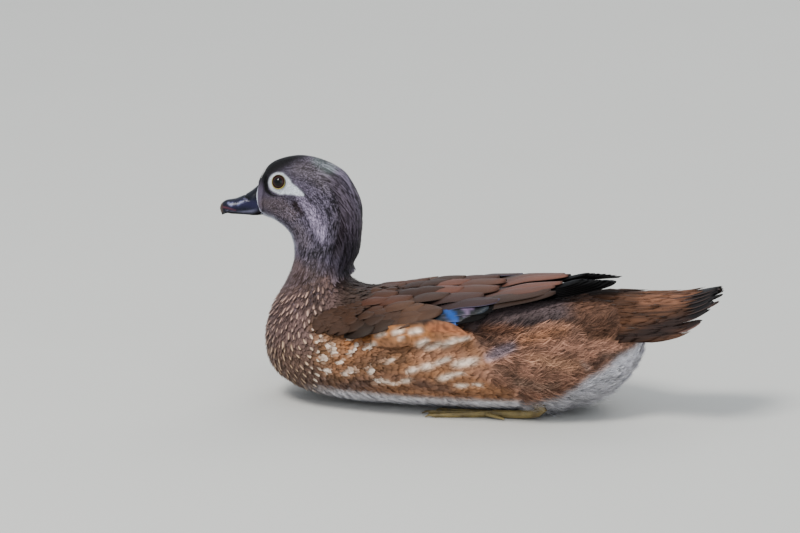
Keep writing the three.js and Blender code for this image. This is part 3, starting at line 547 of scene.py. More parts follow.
def crest_core(u, a):
    """Height of the thick nape under the crest: its profile down the neck times a cosine across it."""
    t = down_crest(u)
    profile = through(CREST_CORE, np.clip(t, 0, 1) * 5) * smooth(t * 8 + 1) * smooth((1 - t) * 6 + 1)
    return profile * np.cos(np.clip(a / 0.26, -1, 1) * math.pi / 2) ** 1.5


def skin_height(u, a):
    """The skin's height over the solid's surface."""
    return crest_core(u, a) - coat_depth(u)


def unwrap(u, a):
    """The bake map: once round the body across it, and from tail to bill up it."""
    return np.stack([0.02 + 0.96 * ((a + 1) % 2) / 2, 0.02 + 0.96 * u / LAST], -1)


def floored(p, least=0.15):
    """Points kept on or over the floor."""
    return np.concatenate([p[..., :2], np.maximum(p[..., 2:], least)], -1)


skin_u, skin_a = grid(np.linspace(0, LAST, SKIN_ROWS), np.linspace(-1, 1, SKIN_COLS))
skin_at, skin_out, _ = on_skin(skin_u, skin_a)
skin_points = floored(skin_at + skin_out * skin_height(skin_u, skin_a)[..., None])
skin_points[:, -1] = skin_points[:, 0]
ends = np.array([skin_points[0].mean(0), skin_points[-1].mean(0)])
count = SKIN_ROWS * SKIN_COLS
cap = np.arange(SKIN_COLS - 1)
last_ring = count - SKIN_COLS + cap
caps = np.concatenate([
    np.stack([np.full(len(cap), count), cap + 1, cap], -1),
    np.stack([np.full(len(cap), count + 1), last_ring, last_ring + 1], -1),
])
skin_uv = np.stack([0.02 + 0.96 * (skin_a + 1) / 2, 0.02 + 0.96 * skin_u / LAST], -1)
# Darkened to 0.6 except near the bill: painted shade for the skin seen in the gaps between feathers.
skin_gap_shade = mix(0.6, 1, smooth(skin_u - LAST + 1.2))
skin = make_piece(
    "skin",
    np.concatenate([skin_points.reshape(-1, 3), ends]),
    [grid_faces(SKIN_ROWS, SKIN_COLS), caps],
    BODY,
    colours=np.concatenate([(markings(skin_at) * skin_gap_shade[..., None]).reshape(-1, 3), markings(ends)]),
    bake=np.concatenate([skin_uv.reshape(-1, 2), [[0.5, 0.01], [0.5, 0.99]]]),
    barb=np.zeros(count + 2),
)
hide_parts("torso", "neck", "head")


# %% [markdown]
# On the bird a body feather is a soft vane with its root in the skin, lying tail-wards over its neighbours.
# It could be a picture on a card, but the model is to be looked at from all sides, so each is a small sheet
# of mesh. All the feathers of a region are worked out at once, as one array of feather x row x column.

# %% Feathers on the skin
def scatter(spacing, u_from, u_to, where=None, seed=0):
    """Places about `spacing` mm apart: the skin is cut into cubes of that size, and of a fine shuffled
    lattice the place nearest to each cube's middle is kept."""
    draw = np.random.default_rng(seed)
    rows = int((u_to - u_from) * 70 / max(spacing, 1.5) * 1.6)
    cols = int(340 / max(spacing, 1.0) * 2.2)
    u, a = grid(np.linspace(u_from, u_to, rows), np.linspace(-1, 1, cols, endpoint=False))
    u = np.clip(u + draw.uniform(-0.5, 0.5, u.shape) * (u_to - u_from) / rows, u_from, u_to).ravel()
    a = (a + draw.uniform(-1, 1, a.shape) / cols).ravel()
    at, _, _ = on_skin(u, a)
    if where is not None:
        kept = where(u, a, at)
        u, a, at = u[kept], a[kept], at[kept]
    cell = np.floor(at / spacing).astype(np.int64)
    order = np.argsort(np.linalg.norm(at / spacing - cell - 0.5, axis=1))
    key = (cell[:, 0] * 4001 + cell[:, 1]) * 4001 + cell[:, 2]
    _, first = np.unique(key[order], return_index=True)
    chosen = order[first]
    return u[chosen], a[chosen]


def in_lines(lines, step, u_from, u_to, seed):
    """Places in lines down the lie of the plumage: the lines stand at even shares round the body, and along
    each the places are a step of length apart, with every other line half a step on."""
    draw = np.random.default_rng(seed)
    us, shares = [], []
    fine_u = np.linspace(u_to, u_from, 300)
    for k in range(lines):
        a = -1 + 2 * (k + 0.5) / lines
        at, _, _ = on_skin(fine_u, np.full(300, a))
        way = np.concatenate([[0], np.cumsum(np.linalg.norm(np.diff(at, axis=0), axis=1))])
        stops = np.arange(step * (0.25 + 0.5 * (k % 2)), way[-1], step)
        stops = stops + draw.normal(0, 0.12 * step, len(stops))
        us.append(np.interp(stops, way, fine_u))
        shares.append(a + draw.normal(0, 0.15 / lines, len(stops)))
    return np.concatenate(us), np.concatenate(shares)


def march(u, a, length, rows, skew=0.0):
    """Planes and shares down the lie of the coat from each place, a step of length at a time: the plane
    number falls by the step over its slope's length, and the share turns by the skew."""
    us, shares = [u], [a]
    step = length / (rows - 1)
    for _ in range(rows - 1):
        _, _, along = on_skin(us[-1], shares[-1])
        us.append(us[-1] - step / np.maximum(np.linalg.norm(along, axis=-1), 2.0))
        shares.append(shares[-1] + skew * step / half_round(np.clip(us[-1], 0, LAST)))
    return np.stack(us, 1), np.stack(shares, 1)


def feathers(u, a, length, half, lift, profile, rows=5, cols=5, skew=0.0, sink=0.6, fray=0.12, comb=0.0,
             cup=0.25, seed=1, rise=1.3):
    """Feathers as sheets over the skin. Along the row the width follows the profile, the tip is cut back by
    the square of the share across, by chance and by the comb at every other column, and the height grows as
    a power of the way along."""
    draw = np.random.default_rng(seed)
    n = len(u)
    length, half, lift, skew = (np.broadcast_to(v, n) for v in (length, half, lift, skew))
    us, shares = march(u, a, length, rows, skew)
    way = np.linspace(0, 1, rows)
    s = np.linspace(-1, 1, cols)
    ragged = 1 - 0.22 * s**2 - fray * draw.uniform(0, 1, (n, cols)) - comb * (np.arange(cols) % 2)
    t = way[None, :, None] * mix(1, ragged[:, None, :], way[None, :, None])
    row = t * (rows - 1)
    low = np.clip(row.astype(int), 0, rows - 2)
    f = row - low
    pick = np.arange(n)[:, None, None]
    u_at = mix(us[pick, low], us[pick, low + 1], f)
    a_at = mix(shares[pick, low], shares[pick, low + 1], f)
    wide = half[:, None, None] * through(profile, way * (len(profile) - 1))[None, :, None] * s[None, None, :]
    a_at = a_at + wide / half_round(np.clip(u_at, 0, LAST))
    at, out, _ = on_skin(u_at, a_at)
    base = skin_height(u_at, a_at) - sink
    stand = (lift[:, None, None] + coat_depth(u_at) + sink) * t**rise
    height = base + stand - cup * half[:, None, None] * (s**2)[None, None, :] * t
    points = floored(at + out * height[..., None])
    barb = t * length[:, None, None] - 0.9 * np.abs(wide)
    return points, t, np.broadcast_to(s, t.shape), barb, u_at, a_at


def feather_uv(u, a, t, s):
    """Each feather's patch on the bake map: 0.003 across, at its root's place on the unwrapped skin."""
    root = unwrap(u, a)[:, None, None, :]
    return root + np.stack([s * 0.0015, (t - 0.5) * 0.003], -1)


def coat(name, u, a, colour, material, slot="body", **shape):
    """One joined piece of feathers, coloured by place and by the way along and across each feather."""
    points, t, s, barb, u_at, a_at = feathers(u, a, **shape)
    n, rows, cols = t.shape
    paint = colour(u_at, a_at, t, s)
    faces = grid_faces(rows, cols, n, reverse=True)
    piece = make_piece(name, points, faces, material, colours=paint, bake=feather_uv(u, a, t, s), barb=barb)


# %% [markdown]
# The eye's place comes first, because no feather of the face may cover it. It is sought on the chart from
# its place in the drawing's side view.

# %% The eye's place
EYE_X, EYE_Z, EYE_R, EYE_OUT = -126.3, 161.1, 6.0, 2.2
seek_u, seek_phi = grid(np.linspace(station("crown"), station("forehead"), 301), np.linspace(0.5, 2, 301))
seek = body(seek_u, seek_phi)
nearest = np.argmin(np.hypot(seek[..., 0] - EYE_X, seek[..., 2] - EYE_Z))
eye_u, eye_phi = seek_u.ravel()[nearest], seek_phi.ravel()[nearest]
eye_a = np.interp(eye_phi, chart_phi[int(eye_u / LAST * (CHART_ROWS - 1))], CHART_A)
eye_at, eye_out, _ = on_skin(np.array([eye_u]), np.array([eye_a]))
EYE_SKIN, EYE_AXIS = eye_at[0], eye_out[0]
EYE_CENTRE = EYE_SKIN + EYE_AXIS * (EYE_OUT - EYE_R)
EYE_OPENING = math.sqrt(EYE_R**2 - (EYE_R - EYE_OUT) ** 2)
print("eye opening", round(2 * EYE_OPENING, 1), "mm across")


def off_eye(u, a, length):
    """True where a feather, from root to tip, keeps out of the eye's opening."""
    clear = np.ones(len(u), bool)
    us, shares = march(u, a, length, 4)
    for k in range(4):
        at, _, _ = on_skin(us[:, k], shares[:, k])
        gap = np.concatenate([at[:, :1], np.abs(at[:, 1:2]), at[:, 2:]], 1) - EYE_SKIN
        gap = gap - (gap @ EYE_AXIS)[:, None] * EYE_AXIS
        clear &= np.linalg.norm(gap, axis=1) > EYE_OPENING + 0.15
    return clear


# %% [markdown]
# The head's feathers are short and so narrow that they read as hair: light strands over dark ones, in
# streaks that follow the lie. Each is a strand of three faces, and its shade comes from noise drawn out
# along the lie, so that neighbours in a row share a streak.

# %% Feathers of the head and neck
LILAC_GREY = "#a39aad"


def strands(ground, u, a, seed, contrast=1.0, fine=0.9, long=6.5, bloom=0.3, own=0.5):
    """Light and dark streaks over a ground colour: noise with cells of `fine` mm across the lie and `long`
    mm along it, half and half with the strand's own chance number, sharpened to an S, with a lilac bloom on
    the light ones, and kept off the white places."""
    streak = mix(grain(a * 66 / fine, u * 11 / long, seed), own, 0.5)
    light = smooth((streak - 0.28) / 0.5)
    dark = ground * mix(1, 0.45, contrast)
    glow = bloom * contrast * smooth(ground.mean(-1) / 0.09)
    pale = painted(ground * mix(1, 1.4, contrast), [(LILAC_GREY, glow)])
    shaded = mix(dark, pale, light[..., None])
    white = smooth((ground.mean(-1) - 0.38) / 0.2)[..., None]
    return mix(shaded, ground * mix(0.93, 1.03, light[..., None]), white)


def head_colour(seed, contrast=1.0):
    """The markings at each point of a strand, streaked, on the cheek in shorter flecks."""
    draw = np.random.default_rng(seed)

    def colour(u_at, a_at, t, s):
        place, _, _ = on_skin(u_at, a_at)
        right, down = side_view(place)
        ground = markings(place) * draw.uniform(0.88, 1.12, (len(t), 1, 1, 1))
        own = draw.uniform(0, 1, (len(t), 1, 1))
        cheek = stroke(right, down, [(266, 202, 5), (280, 206, 9), (294, 212, 9), (300, 222, 6)], 8)
        long_streaks = strands(ground, u_at, a_at, seed, contrast, own=own)
        flecks = strands(ground, u_at, a_at, seed + 1, contrast, fine=0.8, long=1.6, own=own)
        # Darker towards each strand's root: painted shade under the strands that overlap it.
        return mix(long_streaks, flecks, cheek[..., None]) * mix(0.85, 1.08, t)[..., None]

    return colour


def head_coat(name, spacing, u_from, u_to, length, half, lift, seed, contrast=1.42, rows=4, cols=2):
    """Short narrow feathers, smallest at the bill."""
    u, a = scatter(spacing, u_from, u_to, None, seed)
    draw = np.random.default_rng(seed)
    size = np.interp(u, [station("jaw"), station("brow"), LAST], [1, 0.75, 0.4])
    size = size * draw.uniform(0.8, 1.2, len(u))
    keep = off_eye(u, a, length * size)
    u, a, size = u[keep], a[keep], size[keep]
    coat(
        name, u, a, head_colour(seed, contrast), SOFT, slot="head", length=length * size,
        half=half * draw.uniform(0.75, 1.2, len(u)), lift=lift * draw.uniform(0.2, 1.2, len(u)),
        profile=[0.6, 1, 0.75, 0.12], rows=rows, cols=cols, skew=draw.normal(0, 0.09, len(u)), cup=0.1,
        seed=seed)


head_coat("face_feathers", 0.74, station("hind crown") + 0.4, LAST + 0.24, 4.6, 0.4, 0.3, 11)
head_coat("bill_rim_feathers", 0.34, LAST - 0.3, LAST + 0.22, 7.0, 0.5, 0.45, 15)
head_coat("crown_feathers", 0.8, station("jaw"), station("hind crown") + 0.4, 6.0, 0.42, 0.4, 12)
head_coat("upper_neck_feathers", 0.88, station("throat") - 0.3, station("jaw"), 7.5, 0.46, 0.5, 13)
head_coat("neck_feathers", 1.05, station("high breast") - 0.1, station("throat") - 0.3, 9.5, 0.6, 0.6, 14,
          0.9)


# %% [markdown]
# A body feather shows little more than its tip, so its colour is looked up where its tip lies. Breast
# feathers have a pale drop down the shaft, and the flank's have a cream oval.

# %% Feathers of the breast, flank and back
BODY_PROFILE = [0.35, 0.8, 1, 0.95, 0.7]


def tip_places(u_at, a_at):
    """Where each feather's tip lies, shaped to go with all its points."""
    middle = u_at.shape[2] // 2
    place, _, _ = on_skin(u_at[:, -1, middle], a_at[:, -1, middle])
    return place[:, None, None, :]


def tip_colour(seed, mottle=0.14, contrast=0.35, fine=1.6, long=16.0, root=0.75, pale_tip=0.0):
    """The markings at each feather's tip, each with a shade of its own, in faint streaks along the lie."""
    draw = np.random.default_rng(seed)

    def colour(u_at, a_at, t, s):
        n = len(t)
        ground = markings(tip_places(u_at, a_at)) * np.ones(t.shape + (1,))
        ground = ground * draw.uniform(1 - mottle, 1 + mottle, (n, 1, 1, 1))
        streaks = strands(ground, u_at, a_at, seed, contrast, fine, long, 0.08)
        edge = 1 + pale_tip * smooth((t - 0.75) / 0.25)
        # The root's side is darker: painted shade under the feathers that overlap it; the pale tip is the
        # feather's own.
        return streaks * (mix(root, 1.05, t) * edge)[..., None]

    return colour


def place_colour(seed, mottle=0.15, contrast=0.8, fine=0.8, long=7.0, tips=0.3, bloom=0.0, group=1):
    """The markings at each point of a strand, so that they run softly into one another; each strand, or
    group of strands, a shade of its own, with painted shade at the root and paler at its tip."""
    draw = np.random.default_rng(seed)

    def colour(u_at, a_at, t, s):
        place, _, _ = on_skin(u_at, a_at)
        shade = np.repeat(draw.uniform(1 - mottle, 1 + mottle, len(t) // group), group)
        ground = markings(place) * shade[:, None, None, None]
        own = draw.uniform(0, 1, (len(t), 1, 1))
        streaks = strands(ground, u_at, a_at, seed, contrast, fine, long, bloom, own)
        # Painted shade at the root, deeper in a fan's crowded base; the pale tips are the strands' own.
        root_shade_and_pale_tip = mix(0.75 if group > 1 else 0.9, 1.05, t) + tips * own * smooth((t - 0.6) / 0.4)
        return streaks * root_shade_and_pale_tip[..., None]

    return colour


def drop_colour(seed):
    """A dark brown feather with a narrow pale drop down its shaft, wider and whiter low on the side."""
    draw = np.random.default_rng(seed)
    plain = tip_colour(seed, mottle=0.12)

    def colour(u_at, a_at, t, s):
        base = plain(u_at, a_at, t, s)
        tip = tip_places(u_at, a_at)
        right, down = side_view(tip)
        low_side = smooth((right - 300) / 30) * smooth((down - 305) / 30)
        reach = mix(0.27, 0.5, low_side) * smooth((t - 0.32) / 0.35) * draw.uniform(0.7, 1.2, (len(t), 1, 1))
        drop = smooth((reach - np.abs(s)) / 0.16 + 0.5) * smooth((t - 0.3) / 0.12)
        shade = painted(even("#cdab98", base.shape), [
            ("#d6b896", smooth((down - 325) / 30) * np.ones_like(t)),
            ("#e4d6c6", low_side * np.ones_like(t)),
        ])
        bare = np.maximum(smooth((right - 330) / 14) * smooth((318 - down) / 14), smooth((right - 316) / 14))
        shown = smooth((down - 258) / 12) * (1 - bare) * smooth((tip[..., 2] - 2) / 10)
        return painted(base, [(shade, drop * shown)])

    return colour


def under_wing(at):
    """True for places well inside the folded wings' outline, where no feather of the body shows."""
    k = (at[..., 0] - WING_X) / WING_STEP
    inner_y, _, _, outer_z, _ = np.moveaxis(through(WING_LINES, k), -1, 0)
    y = np.abs(at[..., 1])
    return (at[..., 0] > -56) & (at[..., 0] < 66) & (y > inner_y + 4) & (at[..., 2] > outer_z + 5)


def zone(a_from, a_to, extra=None):
    """A test for places between two shares of the way round that are not under a wing."""
    def inside(u, a, at):
        kept = (np.abs(a) >= a_from) & (np.abs(a) < a_to) & ~under_wing(at)
        return kept & extra(at) if extra else kept

    return inside


def body_coat(name, places, length, half, lift, colour, seed, sweep=0.0, stray=0.08, **shape):
    """Feathers of one region of the body, swept up towards the back by the sweep."""
    u, a = places
    draw = np.random.default_rng(seed)
    n = len(u)
    shape = {"rows": 6, "cols": 7, "profile": BODY_PROFILE, "fray": 0.2, **shape}
    coat(
        name, u, a, colour, BODY, length=length * draw.uniform(0.82, 1.18, n),
        half=half * draw.uniform(0.85, 1.15, n), lift=lift * draw.uniform(0.4, 1.3, n),
        skew=-sweep * np.sign(a) + draw.normal(0, stray, n), seed=seed, **shape)


NECK_BASE, KEEL, HIPS = station("neck base"), station("keel"), station("hips")
HIGH_BREAST = station("high breast")
body_coat("lower_neck_feathers", scatter(1.9, HIGH_BREAST - 0.6, NECK_BASE + 0.3, zone(0, 1.01), 21),
          9.5, 1.5, 0.4, tip_colour(21, contrast=0.6, fine=1.2, long=9), 21, cols=3, rows=5, comb=0.0)
body_coat("breast_feathers", scatter(2.9, KEEL - 1.5, HIGH_BREAST - 0.3, zone(0.18, 1.01), 22),
          12, 3.2, 0.5, tip_colour(22), 22, cols=5, comb=0.08)
body_coat("breast_drops", in_lines(50, 7.6, KEEL - 1.2, NECK_BASE + 0.2, 32),
          12.5, 2.7, 0.9, drop_colour(32), 32, stray=0.05, cols=7, fray=0.12)
body_coat("back_feathers", scatter(3.4, HIPS, HIGH_BREAST - 0.3, zone(0, 0.34), 23),
          16, 4.4, 0.6, tip_colour(23, pale_tip=0.1), 23, cols=5, comb=0.06)
body_coat("flank_feathers", scatter(3.7, HIPS - 0.6, KEEL - 1.4, zone(0.3, 0.72), 24),
          19, 5.0, 0.5, place_colour(24, contrast=0.4, fine=1.2, long=12, tips=0.1), 24, sweep=0.3,
          stray=0.15, fray=0.16)
body_coat("belly_feathers", scatter(4.4, HIPS - 0.6, KEEL - 1.4, zone(0.7, 1.01), 25),
          16, 5.0, 0.2, tip_colour(25), 25, cols=5, comb=0.08)
body_coat("rump_feathers", scatter(3.1, 0.1, HIPS + 0.2, zone(0, 0.42), 26),
          19, 3.4, 0.6, place_colour(26, contrast=0.5), 26, stray=0.14, fray=0.25, comb=0.1)
body_coat("vent_feathers", scatter(3.3, 0.1, HIPS - 0.5, zone(0.4, 1.01), 27),
          16, 4.0, 1.0, place_colour(27, contrast=0.5), 27, stray=0.3, fray=0.3, comb=0.1)


# %% [markdown]
# Loose plumage has no closed vanes: its barbs stand apart like hair. They lie over the feathers of the
# flank and rump as single strands, and on the thigh and vent they stand up in little fans from one root.

# %% Loose barbs
def barbs(name, u, a, length, half, lift, colour, seed, skew, rows=4, **shape):
    """Single narrow strands, each turned off the lie by its own skew."""
    draw = np.random.default_rng(seed)
    n = len(u)
    coat(
        name, u, a, colour, BODY, length=length * draw.uniform(0.7, 1.25, n),
        half=half * draw.uniform(0.7, 1.3, n), lift=lift * draw.uniform(0.3, 1.4, n),
        profile=[0.8, 1, 0.7, 0.12], rows=rows, cols=2, skew=skew, cup=0.0, seed=seed, **shape)


def loose(name, spacing, u_from, u_to, where, length, half, lift, colour, seed, sweep=0.0, stray=0.12):
    """Strands all over a region, following the lie but for a sweep up the flank and a little straying."""
    u, a = scatter(spacing, u_from, u_to, where, seed)
    skew = -sweep * np.sign(a) + np.random.default_rng(seed).normal(0, stray, len(u))
    barbs(name, u, a, length, half, lift, colour, seed, skew)


def fans(name, spacing, each, where, length, half, lift, colour, seed, sweep=0.25, spread=0.75):
    """Tufts of strands that fan out from one root, by chance over an angle whose slope is the spread."""
    u, a = scatter(spacing, 0.1, HIPS + 1.6, where, seed)
    draw = np.random.default_rng(seed)
    n = len(u)
    turn = -sweep * np.sign(a) + draw.normal(0, 0.25, n)
    stand = draw.uniform(0.5, 1.5, n)
    u, a, turn, stand = (np.repeat(v, each) for v in (u, a, turn, stand))
    a = a + draw.normal(0, 0.5, n * each) / half_round(u)
    skew = turn + spread * draw.uniform(-1, 1, n * each)
    barbs(name, u, a, length, half, lift * stand, colour, seed, skew, rise=1.0)


def fluffy(at):
    """True in the thigh's and vent's loose plumage."""
    right, down = side_view(at)
    return (right > np.interp(down, FLANK_END[:, 0], FLANK_END[:, 1])) & (right < 600) & (down > 326)


def bare_face(u, a, at):
    """True on the cheeks, throat and lores, clear of the white patch and the crest."""
    right, down = side_view(at)
    inside = (right < 322) & (down > 176) & (down < 268) & (np.abs(a) > 0.2)
    return inside & (stroke(right, down, FACE_PATCH, 2) < 0.02)


def scaly(at):
    """True under the tail, where the plumage is white."""
    right, down = side_view(at)
    return (right > 545) & (at[..., 2] < 56)


loose("flank_barbs", 1.36, HIPS - 0.4, KEEL - 1.6, zone(0.3, 0.72), 13, 0.42, 1.3,
      place_colour(28, contrast=0.75), 28, sweep=0.34)
loose("rump_barbs", 1.35, 0.1, HIPS + 0.6, zone(0.05, 0.62), 13, 0.42, 1.2, place_colour(29, contrast=0.8),
      29)
loose("breast_barbs", 1.85, KEEL - 1.5, HIGH_BREAST, zone(0.2, 0.95), 7, 0.34, 0.9,
      tip_colour(33, contrast=0.8, fine=0.8, long=6), 33, stray=0.2)
loose("face_barbs", 1.02, station("neck"), LAST - 0.35, bare_face, 4.2, 0.2, 0.45,
      place_colour(37, mottle=0.2, contrast=1.3, fine=0.5, long=5, tips=0.4), 37, stray=0.16)
fans("thigh_fans", 5.4, 30, zone(0.3, 0.9, fluffy), 16, 0.3, 5.6,
     place_colour(35, mottle=0.4, contrast=0.8, tips=1.3, group=30), 35)
fans("vent_fans", 5.2, 20, zone(0.4, 1.01, scaly), 9, 0.36, 2.6,
     place_colour(36, mottle=0.3, contrast=0.7, tips=0.2, group=20), 36, sweep=0.1, spread=0.5)


# %% [markdown]
# The hen's crest is a sheaf of long thin plumes that fall from the hind crown down the nape and lie as one
# smooth mass. Each plume has its root in the nape's thick plumage and rises to the mass's outer surface.

# %% The crest
def crest_plumes(name, n, seed):
    """Long narrow plumes: each runs down the nape from a root in its thick core and rises to the crest's
    surface, a profile down the neck times a cosine across it, less the depth of its own layer."""
    draw = np.random.default_rng(seed)
    rows, cols = 9, 2
    start = draw.uniform(-0.14, 0.92, n)
    reach = draw.uniform(0.2, 0.34, n) * mix(0.8, 1.1, np.clip(start, 0, 1))
    side = draw.uniform(-0.25, 0.25, n)
    layer = 3.0 * draw.uniform(0, 1, n) ** 1.5
    half = draw.uniform(0.34, 0.62, n)
    t = np.linspace(0, 1, rows)[None, :, None] * np.ones((n, 1, cols))
    s = np.linspace(-1, 1, cols)[None, None, :] * np.ones((n, rows, 1))
    down = np.minimum(start[:, None, None] + reach[:, None, None] * t, draw.uniform(0.98, 1.14, (n, 1, 1)))
    u = CREST_FROM - down * (CREST_FROM - CREST_TO)
    sway = draw.normal(0, 0.012, n)[:, None, None] * t**2
    mid = side[:, None, None] * (1 - 0.25 * t) + sway
    width = half[:, None, None] * through([0.7, 1, 1, 0.75, 0.1], t * 4)
    a = mid + s * width / half_round(np.clip(u, 0, LAST))
    swell = through(CREST_REACH, np.clip(down, 0, 1) * 5) * smooth(down * 6 + 0.5)
    surface = swell * np.cos(np.clip(mid / 0.30, -1, 1) * math.pi / 2) ** 0.8
    root = crest_core(u, mid) * 0.5 - 0.8
    deep = layer[:, None, None] * smooth(down * 4 + 0.3)
    height = mix(root, surface - deep, smooth(t * 2.2)) - 0.8 * t**3
    at, out, _ = on_skin(u, a)
    points = at + out * height[..., None]
    root_u = CREST_FROM - start * (CREST_FROM - CREST_TO)
    ground = markings(at) * draw.uniform(0.85, 1.15, (n, 1, 1, 1))
    own = draw.uniform(0, 1, (n, 1, 1))
    # Darker towards each plume's root: painted shade in the depth of the crest.
    colours = strands(ground, u, a, seed, 1.0, fine=0.9, long=12.0, own=own) * mix(0.85, 1.1, t)[..., None]
    piece = make_piece(name, points, grid_faces(rows, cols, n, reverse=True), SOFT, colours=colours,
                       bake=feather_uv(root_u, side, t, s), barb=t * 20)
    return piece


crest = crest_plumes("crest_plumes", 8000, 31)
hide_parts("crest")


# %% [markdown]
# The folded wing is a curved sheet between the mid line of the back and an edge on the flank. A pad of dark
# down fills it, and its long feathers are laid on it in tiers, the lowest first, each a thin closed plate
# with a shaft, so that light never shows through between them.

# %% The wing's and the tail's surfaces
def wing_base(x, b, side):
    """A straight line from the inner edge to the outer edge, swollen by 6.75 b^2 (1 - b) of the bulge, which
    keeps the back flat by the mid line."""
    y0, z0, y1, z1, bulge = np.moveaxis(through(WING_LINES, (x - WING_X) / WING_STEP), -1, 0)
    swell = bulge * np.maximum(6.75 * b**2 * (1 - b), -0.15) / np.hypot(y1 - y0, z1 - z0)
    return np.stack([x, side * (mix(y0, y1, b) + swell * (z0 - z1)), mix(z0, z1, b) + swell * (y1 - y0)], -1)


def flank_base(x, b, side):
    """The upper flank: from the wing's outer edge down at a steep slope, 60 mm for one of b."""
    down = 60 * (b - 1)
    return wing_base(x, np.ones_like(b), side) + np.stack([0 * x, side * 0.16 * down, -down], -1)


def tail_base(x, b, side):
    """A ridge along the middle with sides that fall as the power 1.5 of the share across."""
    half, ridge, drop = np.moveaxis(through(TAIL_LINES, (x - TAIL_X) / TAIL_STEP), -1, 0)
    return np.stack([x, b * half, ridge - drop * np.abs(b) ** 1.5], -1)


def raised(base, x, b, side, height):
    """A point over a surface by a height along its outward direction, from the slopes along x and across."""
    at = base(x, b, side)
    slope = base(x + 0.5, b, side) - base(x - 0.5, b, side)
    out = unit(np.cross(slope, base(x, b + 0.02, side) - base(x, b - 0.02, side)))
    out = out * np.sign(out[..., 2:] + np.sign(at[..., 1:2]) * out[..., 1:2])
    return at + out * height[..., None], out


def closed_faces(rows, cols, n, reverse=False):
    """Faces of n thin closed plates, each an upper sheet of rows x cols points followed by its lower one."""
    top = grid_faces(rows, cols)
    low = grid_faces(rows, cols, reverse=True) + rows * cols
    r, c = np.arange(rows - 1), np.arange(cols - 1)
    edges = []
    for line, step in ((c, 1), (r * cols + cols - 1, cols), (rows * cols - 1 - c, -1),
                       ((rows - 1 - r) * cols, -cols)):
        edges.append(np.stack([line + step, line, line + rows * cols, line + step + rows * cols], -1))
    one = np.concatenate([top, low, *edges])
    if reverse:
        one = one[:, ::-1]
    return (one[None] + (np.arange(n) * rows * cols * 2)[:, None, None]).reshape(-1, 4)


# %% [markdown]
# A flight feather is a shaft with a vane on each side, curved across like a roof. A flat card would do from
# afar, but its edge would vanish from the side, so each is a thin closed plate.

# %% Long feathers
COLUMNS = np.array([-1, -0.86, -0.62, -0.36, -0.12, 0, 0.12, 0.36, 0.62, 0.86, 1])
VANE_PROFILE = [0.45, 0.78, 0.95, 1, 1, 0.95]


def plumes(base, side, x, b, length, half, drift=0.0, sink=3.0, lift=1.0, rise=0.0, roll=0.08, rows=18,
           camber=0.14, blunt=0.2, fray=0.0, thick=0.25, profile=VANE_PROFILE, under=None, seed=1):
    """Long feathers on a surface. Each spine runs along x from its root and rises from `sink` under the
    surface to `lift` over it; the vane spreads across the spine, tipped up by the roll, its width the
    profile times an ellipse at the tip, with a ridge for the shaft."""
    draw = np.random.default_rng(seed)
    n = len(x)
    side = np.broadcast_to(side, n).astype(float)[:, None]
    measures = (x, b, length, half, drift, sink, lift, rise, roll)
    x, b, length, half, drift, sink, lift, rise, roll = (
        np.broadcast_to(v, n).astype(float)[:, None] for v in measures)
    t = 1 - (1 - np.linspace(0, 1, rows)[None]) ** 1.6 * np.ones((n, 1))
    height = mix(-sink, lift, smooth(t * 1.6)) + rise * smooth((t - 0.65) / 0.35)
    reach = x + length * t
    across_share = b + drift * t
    if under is None:
        spine, up = raised(base, reach, across_share, side, height)
    else:
        spine, up = raised(base, reach, across_share, side, -under(reach, across_share) - height)
        up = -up
    ahead = unit(np.gradient(spine, axis=1))
    up = unit(up - ahead * (up * ahead).sum(-1, keepdims=True))
    across = np.cross(up, ahead) * side[..., None]
    cos, sin = np.cos(roll)[..., None], np.sin(roll)[..., None]
    across, up = across * cos + up * sin, up * cos - across * sin
    s = COLUMNS[None, None, :] * np.ones((n, rows, 1))
    tip = np.clip((t - (1 - blunt)) / blunt, 0, 1)
    width = half * through(profile, t * (len(profile) - 1)) * np.sqrt(1 - 0.985 * tip**2)
    ragged = 1 - fray * draw.uniform(0, 1, (n, 1, len(COLUMNS))) * t[..., None] ** 3
    row = t[..., None] * ragged
    pull = (row - t[..., None]) * length[..., None]
    bow = -camber * half[..., None] * s**2 + 0.2 * np.exp(-((s / 0.07) ** 2)) * (1 - 0.7 * t[..., None])
    top = spine[:, :, None] + across[:, :, None] * (s * width[..., None])[..., None]
    top = top + up[:, :, None] * bow[..., None] + ahead[:, :, None] * pull[..., None]
    low = top - up[:, :, None] * (thick * (1 - 0.6 * t))[:, :, None, None]
    points = np.stack([top, low], 1)
    way = np.stack([row, row], 1)
    share = np.stack([s, s], 1)
    barb = way * length[:, :, None, None] - 0.9 * np.abs(share) * half[:, :, None, None]
    return points, way, share, barb


def atlas(n, t, s, per_row):
    """Each large feather's own cell of the bake map, in rows, its upper and lower faces side by side."""
    cell = 0.98 / per_row
    k = np.arange(n)[:, None, None, None]
    face = np.array([0, 0.46 * cell])[None, :, None, None]
    u = 0.01 + cell * (k % per_row) + cell * (0.08 + 0.4 * (s + 1) / 2) + face
    v = 0.01 + cell * (k // per_row) + cell * (0.06 + 0.86 * t)
    return np.stack([u, v], -1)


def lay(name, base, side, colour, material, slot, per_row=12, **shape):
    """One joined piece of long feathers, with colours from the way along and across and the place."""
    points, t, s, barb = plumes(base, side, seed=len(name), **shape)
    n, _, rows, cols, _ = points.shape
    faces = closed_faces(rows, cols, n).reshape(n, -1, 4)
    faces = np.where((np.broadcast_to(side, n) > 0)[:, None, None], faces[:, :, ::-1], faces)
    piece = make_piece(name, points, faces.reshape(-1, 4), material, colours=colour(points, t, s),
                       bake=atlas(n, t, s, per_row), turns=False, barb=barb)


